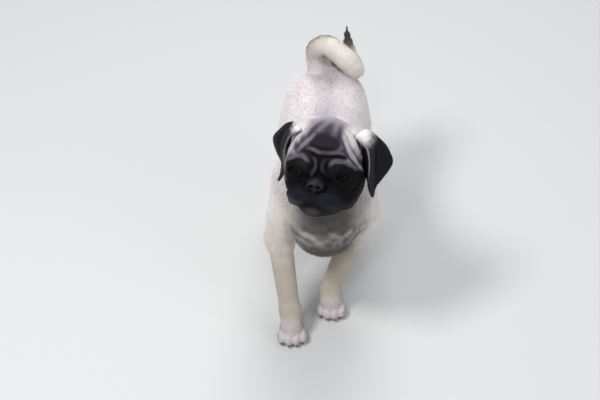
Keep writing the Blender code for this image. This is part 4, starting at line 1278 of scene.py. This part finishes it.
def ear_mesh(rows):
    """A thin flap through the rows, with its root inside the head."""
    across = [smooth_through(in_metres(row), 8) for row in rows]
    along = [smooth_through([row[n] for row in across], 6) for n in range(len(across[0]))]
    work = bmesh.new()
    grid = [[work.verts.new(point) for point in line] for line in along]
    for one, other in zip(grid, grid[1:]):
        for n in range(len(one) - 1):
            work.faces.new((one[n], one[n + 1], other[n + 1], other[n]))
    bmesh.ops.transform(work, matrix=HEAD, verts=work.verts)
    flap = with_modifier(finished(work), "SOLIDIFY", thickness=0.0016, offset=0)
    flap = with_modifier(flap, "REMESH", mode="VOXEL", voxel_size=0.0006)
    return smoothed(flap, 3)


def ear_colour(points, side):
    """Black, with a silver patch over the root, a paler folded strip and a pale line along the front rim, lighter
    hair there with a painted highlight on the edge.
    """
    local = in_head(points)
    colour = np.tile(EAR_BLACK, (len(points), 1))
    rim = [Vector(row[1]) / 1000 for row in EARS[side]]
    strip = [Vector(row[1]).lerp(Vector(row[2]), 0.9) / 1000 for row in EARS[side]]
    colour = painted(colour, EAR_STRIP, (1 - ramp(near_line(local, strip)[0], 0.0022, 0.0055)) * ramp(-local[:, 1], -0.012, -0.002))
    # Lighter hair with a painted highlight: the pale line along the front rim, where the ear's edge catches the
    # light
    off, along = near_line(local, rim)
    colour = painted(colour, EAR_RIM, (1 - ramp(off, 0.0008, 0.0022)) * (1 - ramp(along, 0.55, 0.9)))
    out = np.abs(local[:, 0])
    low, high = (0.044, 0.058) if side == "left" else (0.033, 0.043)
    patch = (1 - ramp(out + 0.001 * waves(points, 0.006, 12), low, high)) * ramp(local[:, 2], 0.030, 0.044)
    return painted(colour, EAR_ROOT, patch)


def make_ears(draw):
    skin = painted_material("ear_skin", 0.65, 0.15, 0.2, 0.0008, 0.3)
    fur = painted_material("ear_fur", 0.55, 0.15, 0.15, 0.0010, 0.0)
    for side, rows in EARS.items():
        mesh = ear_mesh(rows)
        points = points_of(mesh)
        paint(mesh, ear_colour(points, side))
        copy = mesh.copy()
        put(f"ear_skin_{side}", mesh, skin, [f"ear_{side}"])
        count = 22000
        roots, normals = Ground(copy).scattered(count, 1.0, draw)
        local = in_head(roots)
        ways = np.tile((0.25 if side == "left" else -0.25, -0.1, -1.0), (count, 1)) @ np.array(HEAD.to_3x3()).T
        colours = ear_colour(roots, side) * draw.normal(1.0, 0.10, count)[:, None]
        maps = np.stack([local[:, 1] * 8 + 0.3, local[:, 2] * 6 + 0.5], axis=1) * (0.45, 1.0)
        maps[:, 0] += 0.5 * (normals @ np.array(HEAD.to_3x3())[:, 1] > 0)
        lengths = np.full(count, 0.0020)
        fluff = tuft_mesh(f"coat_ear_{side}", roots, normals, ways, lengths, 0.00034, colours, maps, draw, (16, 3))
        put(f"coat_ear_{side}", fluff, fur)


def lid_line(count):
    """Places round the opening of the left eye, on the eyeball's surface."""
    ball = opening_of_eye(1)
    to_eye = Matrix.Translation(ball.centre) @ ball.turn.to_4x4()
    centre = HEAD @ EYE_CENTRE
    places = []
    for n in range(count):
        angle = 2 * math.pi * n / count
        low, high = -0.010, 0.010
        for _ in range(30):
            middle = (low + high) / 2
            ring = math.sqrt(max(0.0, 1 - (middle / ball.radii.y) ** 2))
            at = (ball.radii.x * ring * math.cos(angle), middle, ball.radii.z * ring * math.sin(angle))
            place = to_eye @ Vector(at)
            if (place - centre).length > EYE_RADIUS + 0.0005:
                low = middle
            else:
                high = middle
        places.append(HEAD.inverted() @ place)
    return places


def make_eyes():
    material, surface = new_material("eye", 0.04, 0.10)
    layer = node(material, "ShaderNodeAttribute", attribute_name="coat")
    link(material, layer.outputs["Color"], surface.inputs["Base Color"])
    for side, sign, outward in (("left", 1, 0.20), ("right", -1, 0.38)):
        centre = HEAD @ Vector((sign * EYE_CENTRE.x, EYE_CENTRE.y, EYE_CENTRE.z))
        work = bmesh.new()
        bmesh.ops.create_uvsphere(work, u_segments=96, v_segments=64, radius=1)
        mesh = finished(work)
        points = points_of(mesh)
        gaze = np.array((HEAD.to_3x3() @ Vector((sign * outward, -1, -0.05))).normalized())
        facing = points @ gaze
        angle = np.degrees(np.arccos(np.clip(facing, -1, 1)))
        bulge = 0.0006 * (1 - ramp(angle, 12, 42))
        grown = points * (EYE_RADIUS - 0.0002 + bulge)[:, None] + np.array(centre)
        mesh.vertices.foreach_set("co", grown.ravel())
        colour = np.tile(srgb(168, 158, 150), (len(points), 1))
        colour = painted(colour, srgb(18, 12, 10), 1 - ramp(angle, 46, 50))
        turn = np.arctan2(points @ np.array(HEAD.to_3x3())[:, 2], points @ np.array(HEAD.to_3x3())[:, 0])
        streak = 0.5 + 0.5 * np.sin(turn * 23 + 2 * np.sin(turn * 7))
        ring = ramp(angle, 22, 28) * (1 - ramp(angle, 40, 46))
        colour = painted(colour, srgb(38, 25, 19), ring * (0.30 + 0.35 * streak))
        colour = painted(colour, srgb(5, 4, 5), 1 - ramp(angle, 20, 23))
        paint(mesh, colour)
        put(f"eyeball_{side}", mesh, material, [f"eye_{side}"])
    rim, _ = new_material("lid_rim", 0.50, 0.15)
    rim.node_tree.nodes["Principled BSDF"].inputs["Base Color"].default_value = (0.008, 0.007, 0.008, 1)
    for side, sign in (("left", 1), ("right", -1)):
        line = lid_line(40)
        line = [HEAD @ Vector((sign * p.x, p.y, p.z)) for p in line]
        put(f"lid_rim_{side}", ring_tube(line, 0.00055), rim)


def ring_tube(line, radius, sides=8):
    """A closed tube along a ring of places."""
    points = []
    count = len(line)
    middle = sum(line, Vector()) / count
    for n in range(count):
        along = (line[(n + 1) % count] - line[n - 1]).normalized()
        out = (line[n] - middle)
        out = (out - along * out.dot(along)).normalized()
        up = along.cross(out)
        for side in range(sides):
            angle = 2 * math.pi * side / sides
            points.append(line[n] + (out * math.cos(angle) + up * math.sin(angle)) * radius)
    faces = []
    for n in range(count):
        for side in range(sides):
            a = n * sides + side
            b = n * sides + (side + 1) % sides
            c = (n + 1) % count * sides + (side + 1) % sides
            d = (n + 1) % count * sides + side
            faces += [(a, b, c), (a, c, d)]
    return mesh_from("tube", np.array(points), np.array(faces)[:, ::-1])


def make_nose():
    shapes = nose_shapes()
    mesh = skin_over(shapes, NOSE_VOXEL)
    material, surface = new_material("nose_leather", 0.38, 0.22)
    surface.inputs["Base Color"].default_value = (0.008, 0.008, 0.011, 1)
    place = node(material, "ShaderNodeTexCoord")
    cells = node(material, "ShaderNodeTexVoronoi", feature="DISTANCE_TO_EDGE")
    cells.inputs["Scale"].default_value = 1100
    link(material, place.outputs["Object"], cells.inputs["Vector"])
    height = node(material, "ShaderNodeBump")
    height.inputs["Strength"].default_value = 0.5
    height.inputs["Distance"].default_value = 0.0004
    link(material, cells.outputs["Distance"], height.inputs["Height"])
    link(material, height.outputs["Normal"], surface.inputs["Normal"])
    tint = node(material, "ShaderNodeMapRange")
    tint.inputs["From Max"].default_value = 0.3
    tint.inputs["To Min"].default_value = 0.52
    tint.inputs["To Max"].default_value = 0.40
    link(material, cells.outputs["Distance"], tint.inputs["Value"])
    link(material, tint.outputs["Result"], surface.inputs["Roughness"])
    put("nose_leather", mesh, material, ["nose"])


def make_claws():
    material, surface = new_material("claw_horn", 0.30, 0.5)
    surface.inputs["Base Color"].default_value = (0.030, 0.024, 0.022, 1)
    for kind, legs in (("fore", FORE_LEGS), ("hind", HIND_LEGS)):
        for side, leg in legs.items():
            place = Matrix.Translation(leg["toe"]) @ Matrix.Rotation(math.radians(leg["heading"]), 4, "Z")
            meshes = []
            for across, back, _ in TOES:
                root = Vector((across, back - 0.0066, 0.0070))
                bend = root + Vector((0, -0.0024, -0.0010))
                line = smooth_through([root, bend, root + Vector((0, -0.0037, -0.0036))], 4)
                meshes.append(spike([place @ p for p in line], 0.0011))
            points = np.concatenate([p for p, _ in meshes])
            sizes = np.cumsum([0] + [len(p) for p, _ in meshes[:-1]])
            faces = np.concatenate([f + n for (_, f), n in zip(meshes, sizes)])
            put(f"claws_{kind}_{side}", mesh_from("claws", points, faces), material)


def spike(line, radius, sides=8):
    """A round spike along the line, thick at its root: its points and triangles."""
    points = []
    for n, place in enumerate(line[:-1]):
        along = (line[n + 1] - place).normalized()
        out = along.cross(Vector((0, 0, 1))).normalized()
        up = out.cross(along)
        size = radius * (1 - 0.75 * n / (len(line) - 1))
        for side in range(sides):
            angle = 2 * math.pi * side / sides
            points.append(place + (out * math.cos(angle) + up * math.sin(angle)) * size)
    points += [line[-1], line[0]]
    rings = len(line) - 1
    faces = []
    for n in range(rings - 1):
        for side in range(sides):
            a, b = n * sides + side, n * sides + (side + 1) % sides
            faces += [(a, b, b + sides), (a, b + sides, a + sides)]
    for side in range(sides):
        a, b = side, (side + 1) % sides
        top = (rings - 1) * sides
        faces += [(top + a, top + b, rings * sides), (b, a, rings * sides + 1)]
    return np.array(points), np.array(faces)


def area_light(name, place, target, size, power):
    lamp = bpy.data.lights.new(name, "AREA")
    lamp.shape = "DISK"
    lamp.size = size
    lamp.energy = power
    item = bpy.data.objects.new(name, lamp)
    item.location = place
    item.rotation_euler = (Vector(target) - Vector(place)).to_track_quat("-Z", "Y").to_euler()
    bpy.context.scene.collection.objects.link(item)


def make_studio():
    world = bpy.data.worlds.new("studio")
    bpy.context.scene.world = world
    bpy.context.scene.view_settings.view_transform = "Standard"
    world.use_nodes = True
    world.node_tree.nodes["Background"].inputs["Color"].default_value = (0.86, 0.90, 1.0, 1)
    world.node_tree.nodes["Background"].inputs["Strength"].default_value = 0.40
    area_light("catch", (-0.25, -1.35, 1.75), (0, -0.12, 0.25), 0.20, 4.5)
    area_light("key", (-0.8, -0.6, 1.7), (0, 0, 0.15), 0.45, 20)
    area_light("fill", (1.2, -0.9, 0.9), (0, 0, 0.15), 1.3, 5)
    area_light("top", (0.1, 0.7, 1.7), (0, 0.05, 0.2), 0.9, 15)
    floor = bpy.data.meshes.new("floor")
    floor.from_pydata([(-6, -6, 0), (6, -6, 0), (6, 6, 0), (-6, 6, 0)], [], [(0, 1, 2, 3)])
    material, surface = new_material("floor", 0.9, 0.2)
    surface.inputs["Base Color"].default_value = (0.62, 0.62, 0.61, 1)
    floor.materials.append(material)
    ground = bpy.data.objects.new("floor", floor)
    bpy.context.scene.collection.objects.link(ground)
    camera = bpy.data.cameras.new("camera")
    camera.lens = CAMERA_LENS
    camera.sensor_width = 36
    item = bpy.data.objects.new("camera", camera)
    item.location = CAMERA_PLACE
    item.rotation_euler = (math.radians(CAMERA_TILT), 0, 0)
    bpy.context.scene.collection.objects.link(item)
    bpy.context.scene.camera = item


main()
